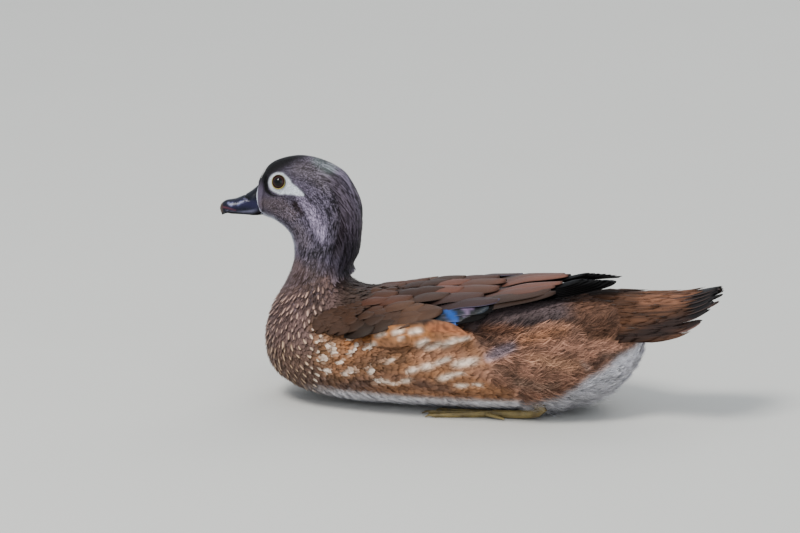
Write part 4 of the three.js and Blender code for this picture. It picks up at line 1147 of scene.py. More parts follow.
def pad(name, top, low, share, codes, flip):
    """The down that fills a wing or the tail: a closed slab between two sheets, each of one colour."""
    rows, cols = share.shape
    along = np.linspace(0, 1, rows)[:, None] * np.ones((1, cols))
    points = np.stack([top, low])
    uv = [np.stack([along * 0.45 + left, share * 0.9 + 0.05], -1) for left in (0.02, 0.52)]
    return make_piece(
        name, points, closed_faces(rows, cols, 1, reverse=flip), BODY, turns=False, bake=np.stack(uv),
        colours=np.stack([even(code, top.shape) for code in codes]), barb=np.zeros(points.shape[:-1]))


def staggered(rows, cols):
    """Row and column numbers of places in rows, with every other row half a column on."""
    i, j = (g.ravel() for g in grid(np.arange(rows), cols))
    return i, j + 0.5 * (i % 2)


def wing_front(b):
    """The wing's front edge: from x = -62 at the inner edge to -86 at the outer."""
    return mix(-62, -86, b)


# %% [markdown]
# The wing's browns shift from place to place rather than from feather to feather: olive in front, a mauve
# bloom on the middle coverts, pinkish brown on the scapulars and tertials. So a vane takes its ground
# from its place, and adds painted shade at the root, a shaft and fine streaks along the barbs.

# %% The wing's colours
WING_TINTS = [
    ("#453225", [(345, 300, 14), (362, 325, 12)], 20, 1),
    ("#5a3f33", [(376, 298, 7), (398, 300, 8)], 12, 1),
    ("#352a21", [(366, 326, 8), (386, 325, 6)], 12, 1),
    ("#5c483b", [(408, 306, 8), (424, 312, 10)], 10, 1),
    ("#3e2b20", [(398, 289, 5), (424, 286, 8), (438, 286, 6)], 8, 1),
    ("#6a4c43", [(452, 284, 7), (474, 286, 7)], 8, 1),
    ("#71534a", [(490, 283, 6), (545, 283, 6)], 8, 1),
    ("#423435", [(440, 301, 6), (492, 298, 6)], 8, 1),
    ("#3a2d26", [(500, 300, 4), (552, 293, 4)], 8, 1),
]

# A little warmth over all the wing's browns
WARM = np.array([1.12, 0.97, 0.84])


def barb_grain(t, s, seed, across=9, slant=5):
    """Noise in streaks that slant out from the shaft as barbs do, other for each vane."""
    vane = np.arange(len(t))[:, None, None, None]
    return grain(s * across + t * slant, t * 3 + vane * 7, seed)


def wing_colour(seed, shade=1.0, edge=0.25, edge_code="#2a1f1b"):
    """A wing vane by its middle's place: the tint there, with painted shade at the root, a thin shaft line,
    streaks along the barbs and a dark rim."""
    draw = np.random.default_rng(seed)

    def colour(points, t, s):
        n, _, rows, cols, _ = points.shape
        row = int(rows * 0.62)
        middle = points[:, :1, row:row + 1, cols // 2:cols // 2 + 1]
        right, down = side_view(mix(points, middle, 0.85), False)
        base = brushed(even("#4b3b32", points.shape), WING_TINTS, right, down)
        tone = 0.87 * shade * draw.uniform(0.9, 1.1, (n, 1, 1, 1)) * mix(0.86, 1.14, barb_grain(t, s, seed))
        # Painted shade towards the root, under the feathers that overlap it.
        tone = tone * mix(0.7, 1.05, smooth(t * 1.5))
        rim = np.maximum(smooth((np.abs(s) - 0.86) / 0.12), smooth((t - 0.965) / 0.03))
        shaft = 0.35 * np.exp(-((s / 0.06) ** 2)) * (1 - 0.6 * t)
        return painted(base * tone[..., None] * WARM, [("#2a1d18", shaft), (edge_code, edge * rim)])

    return colour


def plain_colour(seed, ground, mottle=0.12):
    """A vane of one ground colour with streaks along its barbs."""
    draw = np.random.default_rng(seed)

    def colour(points, t, s):
        shade = draw.uniform(1 - mottle, 1 + mottle, (len(points), 1, 1, 1))
        return even(ground, points.shape) * (shade * mix(0.8, 1.2, barb_grain(t, s, seed)))[..., None]

    return colour


BLUE_STROKES = [
    ("#474f90", [(437, 307.5, 1.5), (447, 307, 2.4)], 4, 0.8),
    ("#155fae", [(446, 309, 3), (452, 316, 4.4), (456, 323, 2.4)], 4, 1),
    ("#77728e", [(428, 305, 0.4), (441, 315, 0.4), (453, 326, 0.3)], 1.2, 0.7),
    ("#0b0c11", [(459.5, 306, 1), (458.5, 326, 1)], 1.5, 1),
    ("#8f7a95", [(463, 308.5, 1.6), (471, 307.5, 2), (464, 315, 1.6)], 3, 1),
    ("#0b0c11", [(478, 306, 3), (466, 322, 4)], 2, 1),
]


def blue_patch(points, t, s):
    """The speculum in the side view: dark slate, then blue with a pale line, a black bar and a lilac end."""
    return brushed(even("#222d38", points.shape), BLUE_STROKES, *side_view(points, False)) * 0.72


def flank_paint(points, t, s):
    """The flank's markings on the large feathers over the wing's edge, in streaks along the barbs."""
    # Streaks along the barbs, and painted shade towards the root.
    tone = mix(0.5, 1.4, barb_grain(t, s, 48, 22, 16)) * mix(0.8, 1.1, t)
    return markings(points) * tone[..., None]


# %% The wings' feathers
ROUNDED = [0.6, 0.92, 1, 1]
pad_along, pad_b = grid(np.linspace(0, 1, 26), np.linspace(0, 1, 22))
pad_x = mix(wing_front(pad_b) + 4, mix(62, 14, pad_b), pad_along)
pad_dip = 3.0 + 5 * np.abs(2 * pad_along - 1) ** 8 + 3.5 * np.clip(2 * pad_b - 1, 0, 1) ** 6
k = np.arange(7)
for word, side in (("left", -1), ("right", 1)):
    draw = np.random.default_rng(40 + side)
    top, _ = raised(wing_base, pad_x, pad_b, side, -pad_dip)
    low, _ = raised(wing_base, pad_x, mix(0.5, pad_b, 0.8), side, np.full(pad_x.shape, -16.0))
    wing = pad(f"wing_{word}_flesh", top, low, pad_b, ["#2b201b", "#2b201b"], side > 0)
    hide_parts(f"wing_{word}")

    lay(f"primaries_{word}", wing_base, side, plain_colour(41, "#060404", 0.3), PRIMARY, "wing",
        x=20 + 1.5 * k, b=0.62 - 0.06 * k, length=104 - 5.5 * k, half=7.0, drift=0.02, sink=5.0,
        lift=-3.2 + 0.5 * k, rise=2.6, roll=0.04, blunt=0.16, fray=0.03)
    lay(f"secondaries_{word}", wing_base, side, blue_patch, SHINE, "wing",
        x=[-20, -16, -12], b=[0.93, 0.88, 0.80], length=[42, 46, 50], half=7.4, drift=0.09, sink=4.0,
        lift=[-0.5, 0.2, 0.8], roll=0.02, blunt=0.25)
    lay(f"inner_secondaries_{word}", wing_base, side, plain_colour(42, "#120f0e", 0.2), PRIMARY, "wing",
        x=[-8, -4, 0], b=[0.98, 0.88, 0.78], length=[46, 48, 50], half=7.4, sink=4.4, lift=[0.0, 0.1, 0.2],
        roll=0.05, blunt=0.25)
    lay(f"tertials_{word}", wing_base, side, wing_colour(43, edge=0.4), QUILL, "wing",
        x=[8, 8, 14, 20], b=[0.77, 0.55, 0.36, 0.16], length=[74, 70, 66, 64], half=[8.6, 12.0, 11.5, 10],
        drift=[0.02, 0.1, 0.1, 0.08], sink=3.2, lift=[1.1, 1.7, 2.1, 2.3], roll=0.06, blunt=0.5)
    lay(f"lilac_tertial_{word}", wing_base, side, wing_colour(47, edge=0.5, edge_code="#5c5e7c"), QUILL,
        "wing", x=[-10], b=[0.65], length=54.0, half=8.8, drift=0.09, sink=3.0, lift=2.0, roll=0.05,
        blunt=0.4)

    i, j = staggered(7, np.arange(7))
    place = 0.02 + j * 0.165
    tip = wing_front(place) + 24 + 10.5 * i + draw.normal(0, 1.3, i.size)
    size = np.interp(i, [0, 2, 6], [0.5, 0.8, 1.1]) * draw.uniform(0.92, 1.08, i.size)
    kept = place < np.interp(tip, [-50, -25], [1.04, 0.96])
    kept &= tip < np.interp(place, [0, 0.6, 0.85, 1], [-20, -8, 6, 0])
    tip, place, size = tip[kept], place[kept] + draw.normal(0, 0.012, kept.sum()), size[kept]
    order = np.argsort(-tip)
    tip, place, size = tip[order], place[order], size[order]
    lay(f"coverts_{word}", wing_base, side, wing_colour(44, edge=0.12), QUILL, "wing",
        x=tip - 30 * size, b=place, length=30 * size, half=9.6 * size, drift=-0.01, sink=2.2,
        lift=1.3 + 0.4 * draw.uniform(-1, 1, len(tip)), roll=0.05, rows=12, blunt=0.55, camber=0.18,
        thick=0.18, profile=ROUNDED)
    lay(f"scapulars_{word}", wing_base, side, wing_colour(45, edge=0.22), QUILL, "wing",
        x=[-16, -22, -34, -39, -54, -42, -62, -72, -54, -74],
        b=[0.10, 0.40, 0.10, 0.36, 0.12, 0.10, 0.34, 0.12, 0.55, 0.34],
        length=[54, 52, 46, 44, 42, 40, 40, 36, 36, 34], half=[12.5, 13, 12, 12.5, 11, 11, 11.5, 10, 11, 10],
        drift=0.04, sink=2.6, lift=[2.2, 2.2, 2.5, 2.9, 2.7, 2.9, 2.9, 2.7, 2.3, 2.9], roll=0.05, rows=14,
        blunt=0.45, camber=0.2, profile=ROUNDED)
    lay(f"flank_cover_{word}", flank_base, side, flank_paint, BODY, "body",
        x=[-12, -17, -24, -34, -46], b=[1.13, 1.10, 1.10, 1.12, 1.12], length=38.0,
        half=[7.2, 7.6, 8.4, 8.4, 8.4], drift=[0.1, 0.06, 0.02, 0, 0], sink=1.0,
        lift=[5.4, 5.2, 4.6, 4.0, 3.4], roll=0.0, rows=40, blunt=0.5, camber=0.16, fray=0.1, thick=0.15,
        profile=ROUNDED)
    i, j = staggered(5, np.arange(16))
    place = j / 15.5
    root = wing_front(place) - 15 + 5 * i + draw.normal(0, 1, i.size)
    order = np.argsort(-root)
    lay(f"shoulder_feathers_{word}", wing_base, side, wing_colour(46, shade=1.05, edge=0.0), BODY, "wing",
        per_row=10, x=root[order], b=place[order], length=17.0, half=4.6, sink=3.0,
        lift=1.2 + 0.4 * draw.uniform(-1, 1, i.size), roll=0.04, rows=9, blunt=0.5, camber=0.12, thick=0.12,
        fray=0.15, profile=[0.6, 0.92, 1, 0.9])


# %% [markdown]
# The tail is a soft ridge of fourteen long feathers, folded. Brown coverts run far down over its root like
# long hair, and white ones fill it from below.

# %% The tail
def tail_depth(x, b):
    """How deep the tail's root is under its surface."""
    t = np.clip((x - 104) / 56, 0, 1)
    return 2.2 + mix(19, 1.6, t) * (1 - 0.8 * b * b)


pad_along, pad_b = grid(np.linspace(0, 1, 30), np.linspace(-0.96, 0.96, 41))
pad_x = mix(100, 158 - 9 * np.abs(pad_b), pad_along)
top, _ = raised(tail_base, pad_x, pad_b, 1, np.full(pad_x.shape, -2.4))
low, _ = raised(tail_base, pad_x, pad_b, 1, -tail_depth(pad_x, pad_b) + 0.6)
tail = pad("tail_flesh", top, low, (pad_b + 1) / 2, ["#3a271c", "#b8b2ae"], True)
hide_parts("tail")


def rectrix_paint(points, t, s):
    """A tail feather: brown, black towards its tip, and pinkish along the edges of the outermost."""
    x, z = points[..., 0], points[..., 2]
    base = even("#3d2b24", points.shape) * mix(0.8, 1.25, barb_grain(t, s, 51, slant=8))[..., None]
    base = base * np.random.default_rng(51).uniform(0.85, 1.15, (len(points), 1, 1, 1, 1))
    outer = smooth((80 - z) / 6)
    return painted(base, [
        ("#150f0e", smooth((x - 172) / 10) * (1 - 0.5 * outer)),
        ("#7d6058", 0.7 * outer * smooth((np.abs(s) - 0.6) / 0.2)),
        ("#7a645e", 0.5 * smooth((np.abs(s) - 0.88) / 0.1)),
        ("#181110", 0.6 * np.exp(-((s / 0.07) ** 2))),
    ])


places = np.array([0.07, 0.16, 0.26, 0.38, 0.5, 0.64, 0.85])
reach = np.array([197.5, 197.5, 197, 196.5, 196, 194.5, 190])
for word, side in (("right", 1), ("left", -1)):
    lay(f"rectrices_{word}", tail_base, side, rectrix_paint, QUILL, "tail", per_row=8,
        x=np.full(7, 130.0), b=side * places, length=reach - 130, half=7.4 - 3.8 * places**3, fray=0.05,
        sink=4.2, lift=-0.2 if side < 0 else -1.1, roll=0.2, blunt=0.22, profile=[0.3, 0.65, 0.9, 1, 1])

TAIL_TINTS = [
    ("#87604a", [(642, 300, 5), (665, 300, 7), (690, 296, 4)], 14, 1),
    ("#5d3f2b", [(585, 325, 10), (625, 318, 10)], 14, 1),
    ("#33231d", [(612, 339, 3), (634, 335, 5), (660, 328, 9), (692, 317, 7)], 10, 1),
    ("#3f3029", [(576, 294, 3), (640, 289, 3)], 6, 1),
]


def covert_paint(seed, ground, tints=(), tips=None, contrast=0.5):
    """Soft coverts: the ground colour and its tints by place, in long streaks as fine as hair."""
    draw = np.random.default_rng(seed)

    def colour(points, t, s):
        right, down = side_view(points, False)
        base = brushed(even(ground, points.shape), tints, right, down)
        hair = grain(points[..., 1] / 0.9 + points[..., 2] / 1.1, points[..., 0] / 13, seed)
        shade = draw.uniform(0.88, 1.12, (len(points), 1, 1, 1))
        # Darker towards the root: painted shade under the coverts that overlap it.
        tone = shade * mix(1 - contrast, 1 + contrast, hair) * mix(0.8, 1.05, t)
        return painted(base * tone[..., None], [(tips, smooth((t - 0.8) / 0.15))] if tips else [])

    return colour


i, j = staggered(13, np.arange(-11, 12))
place = j * 0.088
kept = np.abs(place) <= 0.97
draw = np.random.default_rng(52)
root = (92 + 4.9 * i - 5 * np.abs(place))[kept] + draw.normal(0, 1.2, kept.sum())
place = place[kept] + draw.normal(0, 0.012, kept.sum())
order = np.argsort(-root)
root, place = root[order], place[order]
lay("tail_coverts", tail_base, np.where(place < 0, -1, 1), covert_paint(52, "#573c2b", TAIL_TINTS), BODY,
    "tail", per_row=18, x=root, b=place, length=36.0 * draw.uniform(0.85, 1.15, len(root)), half=3.6,
    sink=2.9, lift=np.interp(root, [92, 150], [2.0, 1.0]) * draw.uniform(0.6, 1.3, len(root)), roll=0.06,
    rows=8, blunt=0.6, fray=0.35, thick=0.15, camber=0.2, profile=[0.5, 0.9, 1, 0.8])

i, j = staggered(8, np.arange(-5, 6))
place = j * 0.175
kept = np.abs(place) <= 0.9
root, place = (104 + 6.3 * i)[kept].astype(float), place[kept]
lay("undertail_coverts", tail_base, np.where(place < 0, -1, 1),
    covert_paint(53, "#cfd0da", (), "#eceef4", 0.25), BODY, "tail", per_row=10, x=root, b=place, length=27.0,
    half=5.0, sink=-1.2, lift=1.4, roll=0.06, rows=8, blunt=0.5, fray=0.35, thick=0.15, under=tail_depth,
    profile=[0.5, 0.9, 1, 0.9])


# %% [markdown]
# The eye is a wet ball that shows in a round opening, with a thin lid round it like a cord. The pupil could
# be a disc of its own, but rings painted by the angle from the gaze give the iris its soft edges.

# %% Eyes
def ball_map(name, stops):
    """A wet glassy eye: rings of colour by the angle from the gaze, with a clear sharp gloss."""
    material, tree = new_material(name)
    angle = add(tree, "ShaderNodeAttribute", attribute_name="gaze").outputs["Fac"]
    place = add(tree, "ShaderNodeTexCoord").outputs["Object"]
    flecks = add(tree, "ShaderNodeTexNoise", [("Vector", place)], Scale=1800.0, Detail=2.0).outputs["Fac"]
    shift = add(tree, "ShaderNodeMapRange", [("Value", flecks)], To_Min=-0.03, To_Max=0.03).outputs["Result"]
    blurred = add(tree, "ShaderNodeMath", [(0, angle), (1, shift)], operation="ADD").outputs[0]
    ramp = add(tree, "ShaderNodeValToRGB", [("Fac", blurred)])
    while len(ramp.color_ramp.elements) < len(stops):
        ramp.color_ramp.elements.new(0.5)
    for element, (place_at, code) in zip(ramp.color_ramp.elements, stops):
        element.position = place_at
        element.color = (*linear(code), 1)
    return shaded(material, tree, [("Base Color", ramp.outputs["Color"])], Roughness=0.06, IOR=1.33)


IRIS = ball_map("wet_red_brown_eye", [
    (0.0, "#020202"), (0.50, "#030202"), (0.55, "#1c0906"), (0.66, "#35130b"), (0.78, "#1c0b07"),
    (0.84, "#060403")])

first = unit(np.cross(EYE_AXIS, [0, 0, 1]))
second = np.cross(first, EYE_AXIS)


def whole_turn(n):
    """n even steps round a circle."""
    return np.linspace(0, 2 * math.pi, n, endpoint=False)


def round_gaze(turn):
    """Directions square to the gaze, at each turn round it."""
    return np.cos(turn)[..., None] * first + np.sin(turn)[..., None] * second


def wrapped_faces(rows, cols, close_rows=False):
    """Faces of a grid whose columns, and rows if asked, close on themselves."""
    r = np.arange(rows if close_rows else rows - 1)[:, None]
    c = np.arange(cols)[None]
    r2, c2 = (r + 1) % rows, (c + 1) % cols
    return np.stack([r * cols + c, r * cols + c2, r2 * cols + c2, r2 * cols + c], -1).reshape(-1, 4)


theta, turn = grid(np.linspace(0, math.pi, 49), whole_turn(72))
rim_turn, rim_tube = grid(whole_turn(72), whole_turn(12))

# Lid skin: dull yellow, mottled, with a faint grain that breaks the light
lid_skin, tree = new_material("thin_yellow_lid_skin")
colour, noise, _ = mottled(tree, 900.0, 2.0, 0.75, 1.25)
bump = add(tree, "ShaderNodeBump", [("Height", noise)], Strength=0.4, Distance=0.0003).outputs["Normal"]
shaded(lid_skin, tree, [("Base Color", colour), ("Normal", bump)], Roughness=0.4)

for word, side in (("left", -1), ("right", 1)):
    flip = np.array([1, side, 1.0])
    bulge = EYE_R + 0.3 * np.exp(-((theta / 0.45) ** 2))
    ball = EYE_CENTRE + bulge[..., None] * (
        np.cos(theta)[..., None] * EYE_AXIS + np.sin(theta)[..., None] * round_gaze(turn))
    faces = wrapped_faces(49, 72)
    eye = make_piece(f"eyeball_{word}", ball * flip, faces if side < 0 else faces[:, ::-1], IRIS, gaze=theta)
    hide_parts(f"eye_{word}")
    ring = EYE_OPENING + 0.12 + 0.4 * np.cos(rim_tube)
    rise = (EYE_R - EYE_OUT) + 0.3 + 0.5 * np.sin(rim_tube)
    tall = 1 + 0.05 * np.abs(np.sin(rim_turn))
    lid = EYE_CENTRE + rise[..., None] * EYE_AXIS + (ring * tall)[..., None] * round_gaze(rim_turn)
    inner = smooth(-np.cos(rim_tube) * 1.5)
    low = smooth(0.5 - 0.9 * np.sin(rim_turn + 0.4))
    lid_colours = painted(even("#5c5230", lid.shape), [("#a8973f", low), ("#120d0b", inner)])
    faces = wrapped_faces(72, 12, close_rows=True)
    lids = make_piece(f"lids_{word}", lid * flip, faces if side < 0 else faces[:, ::-1], lid_skin,
                      colours=lid_colours)


# %% [markdown]
# The bill is horn over bone, in two halves that meet at the mouth line. Each is a tube of rings from its
# base to its tip, so that the nostrils and the nail can be pressed into the one surface.

# %% The bill
# The bill's ridge, mouth line and underside: x and z, and the half width
RIDGE = [
    (-139.4, 157.6, 7.9), (-144.4, 152.6, 8.8), (-150.2, 148.5, 8.2), (-157, 145.3, 7.7),
    (-163.4, 143.8, 6.9), (-167.8, 141, 5), (-169.3, 137.4, 2.4),
]
MOUTH = [(-138.4, 135.9), (-144.6, 135.4), (-151, 135.2), (-157, 135.6), (-161.6, 136), (-165.2, 134.9),
         (-167.6, 133.2)]
CHIN = [(-138, 133.9, 5.8), (-144, 133.6, 6.8), (-150, 134, 6.5), (-156, 134.3, 6.1), (-161, 134.5, 5.6),
        (-164, 134.6, 3.2)]

# Bill horn: near black with a soft polish, duller in some places than in others
HORN, tree = new_material("smooth_keratin_bill")
colour, mottle, place = mottled(tree, 260.0, 5.0, 0.7, 1.3)
pores = add(tree, "ShaderNodeTexNoise", [("Vector", place)], Scale=1100.0, Detail=3.0).outputs["Fac"]
bump = add(tree, "ShaderNodeBump", [("Height", pores)], Strength=0.25, Distance=0.0003).outputs["Normal"]
gloss = add(tree, "ShaderNodeMapRange", [("Value", mottle)], To_Min=0.18, To_Max=0.34).outputs["Result"]
shaded(HORN, tree, [("Base Color", colour), ("Normal", bump), ("Roughness", gloss)],
       Specular_IOR_Level=0.2, Coat_Weight=0.05, Coat_Roughness=0.12)


def closed_rings(points):
    """Faces of a tube of rings, closed at both ends by fans to each end ring's middle."""
    rows, cols = points.shape[:2]
    c = np.arange(cols)
    n = rows * cols
    ends = np.concatenate([
        np.stack([np.full(cols, n), (c + 1) % cols, c], -1),
        np.stack([np.full(cols, n + 1), n - cols + c, n - cols + (c + 1) % cols], -1),
    ])
    middles = [points[0].mean(0), points[-1].mean(0)]
    return np.concatenate([points.reshape(-1, 3), middles]), [wrapped_faces(rows, cols), ends]


# The first three strokes are painted highlights on the wet horn; the pale line above the mouth and the
# red-purple by the tip are the horn's own colours.
BILL_HIGHLIGHTS_AND_LINES = [
    ("#8a8cb4", [(228.5, 203, 1.1), (231.5, 205, 1.3), (232.5, 203, 0.8)], 2, 0.5),
    ("#8083ac", [(238.5, 204.5, 1), (241, 202, 1.2), (243.5, 201.5, 0.8)], 2, 0.5),
    ("#6d6a86", [(244, 198.5, 0.5), (247.5, 199.5, 0.6), (246.5, 201.5, 0.4)], 1.2, 0.7),
    ("#76758f", [(226, 210.3, 0.2), (244, 211.6, 0.2), (261, 210.6, 0.4)], 1.1, 0.6),
    ("#5c2f3c", [(223.5, 207, 0.9), (228, 208, 0.7), (236, 210.3, 0.4)], 1.5, 0.8),
]


def bill_colour(p):
    """Navy black with painted lilac highlights, a black culmen, a pale line above the mouth and a
    red-brown nail.
    """
    right, down = side_view(p)
    base = painted(even("#121320", p.shape), [
        ("#211f3a", stroke(right, down, [(256, 205, 4), (246, 203, 3), (232, 205, 3)], 6)),
        ("#0b0c12", smooth((p[..., 2] - 145.5) / 5) * 0.8),
    ])
    return painted(brushed(base, BILL_HIGHLIGHTS_AND_LINES, right, down), [
        ("#43342f", smooth((223.8 - right) / 2)),
        ("#07070a", smooth((down - 212) / 1.2)),
    ])


NOSTRIL, NOSTRIL_SLOPE = np.array([-149.2, 5.0, 146.8]), 0.45
u = np.linspace(0, 1, 64)[:, None]
v = np.linspace(0, math.pi, 41)[None]
ridge, mouth = through(RIDGE, u * 6), through(MOUTH, u * 6)
up = np.sin(v) ** 0.75
over_y = -ridge[..., 2] * np.cos(v) * np.ones_like(up)
over = np.stack([mix(mouth[..., 0], ridge[..., 0], up), over_y, mix(mouth[..., 1], ridge[..., 1], up)], -1)
palate_y = np.linspace(0.85, -0.85, 9)[None]
palate_z = mouth[..., 1] + 0.9 * np.cos(palate_y * 1.3)
palate = np.stack([mouth[..., 0] + 0 * palate_y, ridge[..., 2] * palate_y, palate_z], -1)
rings = np.concatenate([over, palate], 1)
centre_line = np.stack([rings[..., 0].mean(1), 0 * u[:, 0], rings[..., 2].mean(1)], -1)[:, None]
gap = np.stack([rings[..., 0], np.abs(rings[..., 1]), rings[..., 2]], -1) - NOSTRIL
along_hole = gap[..., 0] * math.cos(NOSTRIL_SLOPE) - gap[..., 2] * math.sin(NOSTRIL_SLOPE)
across_hole = gap[..., 0] * math.sin(NOSTRIL_SLOPE) + gap[..., 2] * math.cos(NOSTRIL_SLOPE)
hole = smooth(1.5 - np.hypot(along_hole / 2.4, across_hole / 0.9))
nail = smooth(1.6 - np.hypot((rings[..., 0] + 167) / 3.6, rings[..., 1] / 3.0))
nail = nail * smooth((rings[..., 2] - 136.5) / 1.5)
rings = rings + unit(centre_line - rings) * (hole * 1.1 - nail * 0.5)[..., None]
bill_points, bill_faces = closed_rings(rings[::-1])
paint = bill_colour(bill_points)
# The nostril's dent is painted near black: painted shade in its hollow.
dark = np.concatenate([hole[::-1].ravel(), [0, 0]])[:, None]
bill_upper = make_piece("upper_bill", bill_points, bill_faces, HORN,
                        colours=mix(paint, linear("#050506"), dark))
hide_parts("bill_upper")

u = np.linspace(0, 1, 40)[:, None]
v = whole_turn(40)[None]
chin = through(CHIN, u * 5)
deep = mix(2.2, 1.2, u)
lower_y = chin[..., 2] * np.sign(np.cos(v)) * np.abs(np.cos(v)) ** 0.7
lower_z = chin[..., 1] + deep / 2 + deep / 2 * np.sign(np.sin(v)) * np.abs(np.sin(v)) ** 0.8
lower = np.stack([chin[..., 0] + 0 * v, lower_y, lower_z], -1)
low_points, low_faces = closed_rings(lower)
bill_lower = make_piece("lower_bill", low_points, low_faces, HORN, colours=bill_colour(low_points) * 0.8)
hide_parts("bill_lower")


# %% [markdown]
# Where the face meets the bill, the shortest feathers of all run forward on to the horn in a bow, with a
# white edge. Each is a strand on a bent path from the bow, over the corner, on to the face.

# %% The feathers at the bill's base
BOW = np.array([
    (-139.2, 159.4), (-140.8, 155.4), (-142.2, 151.5), (-142.4, 147), (-141.4, 142.5), (-139.8, 139),
    (-138.6, 135.8),
])


def bill_edge(n, seed):
    """Strands along paths q^2 T + 2 q (1 - q) C + (1 - q)^2 R, from R on the bill to T on the face, with C
    such that they pass just over the corner, white where q is below about a quarter."""
    draw = np.random.default_rng(seed)
    side = np.repeat([1.0, -1.0], n)
    bow = through(BOW, draw.uniform(0, len(BOW) - 1, 2 * n))
    at_x = -bow[:, 0]
    ridge_x, mouth_x = (-np.array(line)[:, 0] for line in (RIDGE, MOUTH))
    ridge_z, half = (np.interp(at_x, ridge_x, np.array(RIDGE)[:, i]) for i in (1, 2))
    mouth_z = np.interp(at_x, mouth_x, np.array(MOUTH)[:, 1])
    up = np.clip((bow[:, 1] - mouth_z) / (ridge_z - mouth_z), 0, 1) ** (1 / 0.75)
    start = np.stack([bow[:, 0], side * half * np.sqrt(1 - up**2), bow[:, 1]], -1)
    right_half = CHART_A > 0
    share = side * np.interp(-bow[:, 1], -CHART[-1, right_half, 2], CHART_A[right_half])
    corner, out, _ = on_skin(np.full(2 * n, LAST + 0.1), share)
    corner = corner + out * 0.6
    face, out, _ = on_skin(LAST - draw.uniform(0.35, 1.0, 2 * n), share)
    face = face + out * 0.12
    root = draw.uniform(0, 0.75, 2 * n) ** 1.3
    t, s = (g[None] * np.ones((2 * n, 1, 1)) for g in grid(np.linspace(0, 1, 4), [-1.0, 1.0]))
    q = np.minimum(root[:, None, None] + 0.36 * t, 1.05)[..., None]
    bend = 2 * corner - (face + start) / 2
    face, bend, start, out = (v[:, None, None] for v in (face, bend, start, out))
    path = q**2 * face + 2 * q * (1 - q) * bend + (1 - q) ** 2 * start
    ahead = unit(np.gradient(path, axis=1))
    lie = unit(np.cross(ahead, np.broadcast_to(out, path.shape)))
    stand, wide = 0.05 + 0.3 * np.sin(2.6 * t), s * 0.3 * (1 - 0.8 * t**2)
    points = path + out * stand[..., None] + lie * wide[..., None]
    white = smooth((0.24 - q[..., 0]) / 0.08) * smooth((160 - path[..., 2]) / 2)
    ground = markings(path) * draw.uniform(0.7, 1.3, (2 * n, 1, 1, 1))
    piece = make_piece("bill_edge_feathers", points, grid_faces(4, 2, 2 * n, reverse=True), SOFT,
                       colours=painted(ground, [("#e6eaf6", white)]),
                       bake=feather_uv(np.full(2 * n, LAST - 0.3), share, t, s), barb=t * 3)


bill_edge(1100, 61)


# %% [markdown]
# The legs are folded under the belly and hardly show. The solid model's own shanks, toes and webs are fine
# enough, so they keep their meshes and only get the look of scaled skin.

# %% Legs and feet
# Leg skin: scales that catch the light one by one, worn between dull brown and yellow
SCUTES, tree = new_material("scaled_leg_skin")
place = add(tree, "ShaderNodeTexCoord").outputs["Object"]
cells = add(tree, "ShaderNodeTexVoronoi", [("Vector", place)], Scale=700.0).outputs["Distance"]
wear = add(tree, "ShaderNodeTexNoise", [("Vector", place)], Scale=120.0, Detail=4.0).outputs["Fac"]
ramp = add(tree, "ShaderNodeValToRGB", [("Fac", wear)])
for element, level, code in zip(ramp.color_ramp.elements, (0.35, 0.7), ("#5d4d2c", "#93804b")):
    element.position = level
    element.color = (*linear(code), 1)
bump = add(tree, "ShaderNodeBump", [("Height", cells)], Strength=0.5, Distance=0.0004).outputs["Normal"]
shaded(SCUTES, tree, [("Base Color", ramp.outputs["Color"]), ("Normal", bump)], Roughness=0.5)
for name in ("leg_left", "leg_right", "foot_left", "foot_right"):
    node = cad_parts[name]
    node.data.materials.clear()
    node.data.materials.append(SCUTES)


# %% [markdown]
# A still model is looked at on a plain floor in soft light: a large lamp high on the left, a weak one in
# front and one from behind that draws the back's edge. The camera stands far off, with a long lens.

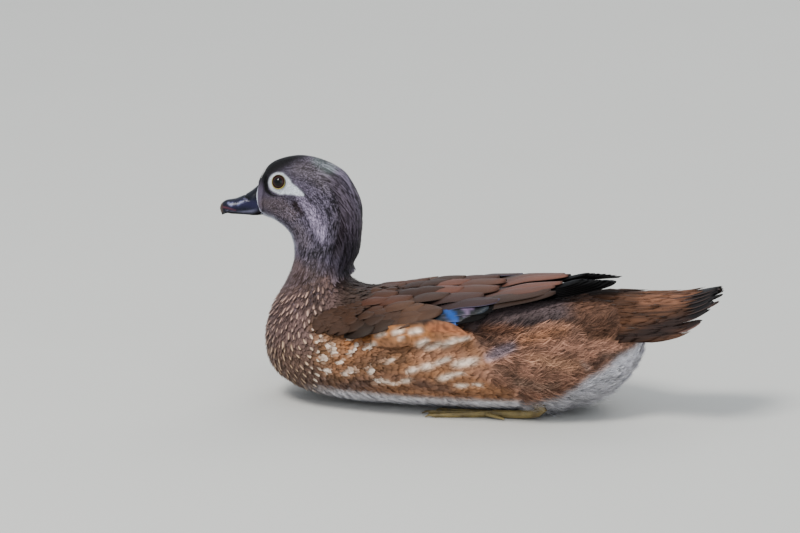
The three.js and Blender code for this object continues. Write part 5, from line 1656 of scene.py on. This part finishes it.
# %% The floor, the light and the camera
# Matt paper: one pale grey, clouded a little, with no gloss
floor_paint, tree = new_material("pale_matt_floor")
place = add(tree, "ShaderNodeTexCoord").outputs["Object"]
speck = add(tree, "ShaderNodeTexNoise", [("Vector", place)], Scale=6.0, Detail=2.0).outputs["Fac"]
ramp = add(tree, "ShaderNodeValToRGB", [("Fac", speck)])
for element, shade in zip(ramp.color_ramp.elements, (0.97, 1)):
    element.color = (*(linear("#c9c8c2") * shade), 1)
shaded(floor_paint, tree, [("Base Color", ramp.outputs["Color"])], Roughness=0.8)
floor_mesh = bpy.data.meshes.new("floor")
floor_mesh.from_pydata([(-6, -6, 0), (6, -6, 0), (6, 6, 0), (-6, 6, 0)], [], [(0, 1, 2, 3)])
floor_mesh.materials.append(floor_paint)
floor = bpy.data.objects.new("floor", floor_mesh)
scene.collection.objects.link(floor)

world = bpy.data.worlds.new("soft_daylight")
world.use_nodes = True
sky = world.node_tree.nodes["Background"]
sky.inputs["Color"].default_value = (0.84, 0.91, 1.0, 1)
sky.inputs["Strength"].default_value = 0.85
scene.world = world


def lamp(name, at, aim, size, power, colour):
    """A square soft light that faces its aim."""
    data = bpy.data.lights.new(name, "AREA")
    data.size, data.energy, data.color = size, power, colour
    light = bpy.data.objects.new(name, data)
    light.location = at
    light.rotation_euler = (Vector(aim) - Vector(at)).to_track_quat("-Z", "Y").to_euler()
    scene.collection.objects.link(light)


lamp("key", (-0.9, -1.4, 2.7), (0, 0, 0.08), 1.1, 94, (1.0, 0.98, 0.95))
lamp("fill", (1.8, -2.0, 1.0), (0, 0, 0.08), 2.0, 18, (0.93, 0.96, 1.0))
lamp("back", (0.6, 2.2, 1.8), (0, 0, 0.1), 1.6, 22, (1.0, 0.98, 0.95))

AZIMUTH, ELEVATION = math.radians(13), math.radians(14)
DISTANCE, WIDTH_PX, SENSOR_MM = 6.4, 800, 36
level = math.cos(ELEVATION)
back = Vector((math.sin(AZIMUTH) * level, -math.cos(AZIMUTH) * level, math.sin(ELEVATION)))
target = Vector(((-38.07 + shift_x) / 1000, 0, 0.0982))
camera_data = bpy.data.cameras.new("camera")
camera_data.sensor_width = SENSOR_MM
camera_data.lens = SENSOR_MM * DISTANCE / (PIXEL_MM * WIDTH_PX / 1000)
camera_data.clip_end = 50
camera = bpy.data.objects.new("camera", camera_data)
camera.location = target + back * DISTANCE
camera.rotation_euler = (-back).to_track_quat("-Z", "Y").to_euler()
scene.collection.objects.link(camera)
scene.camera = camera
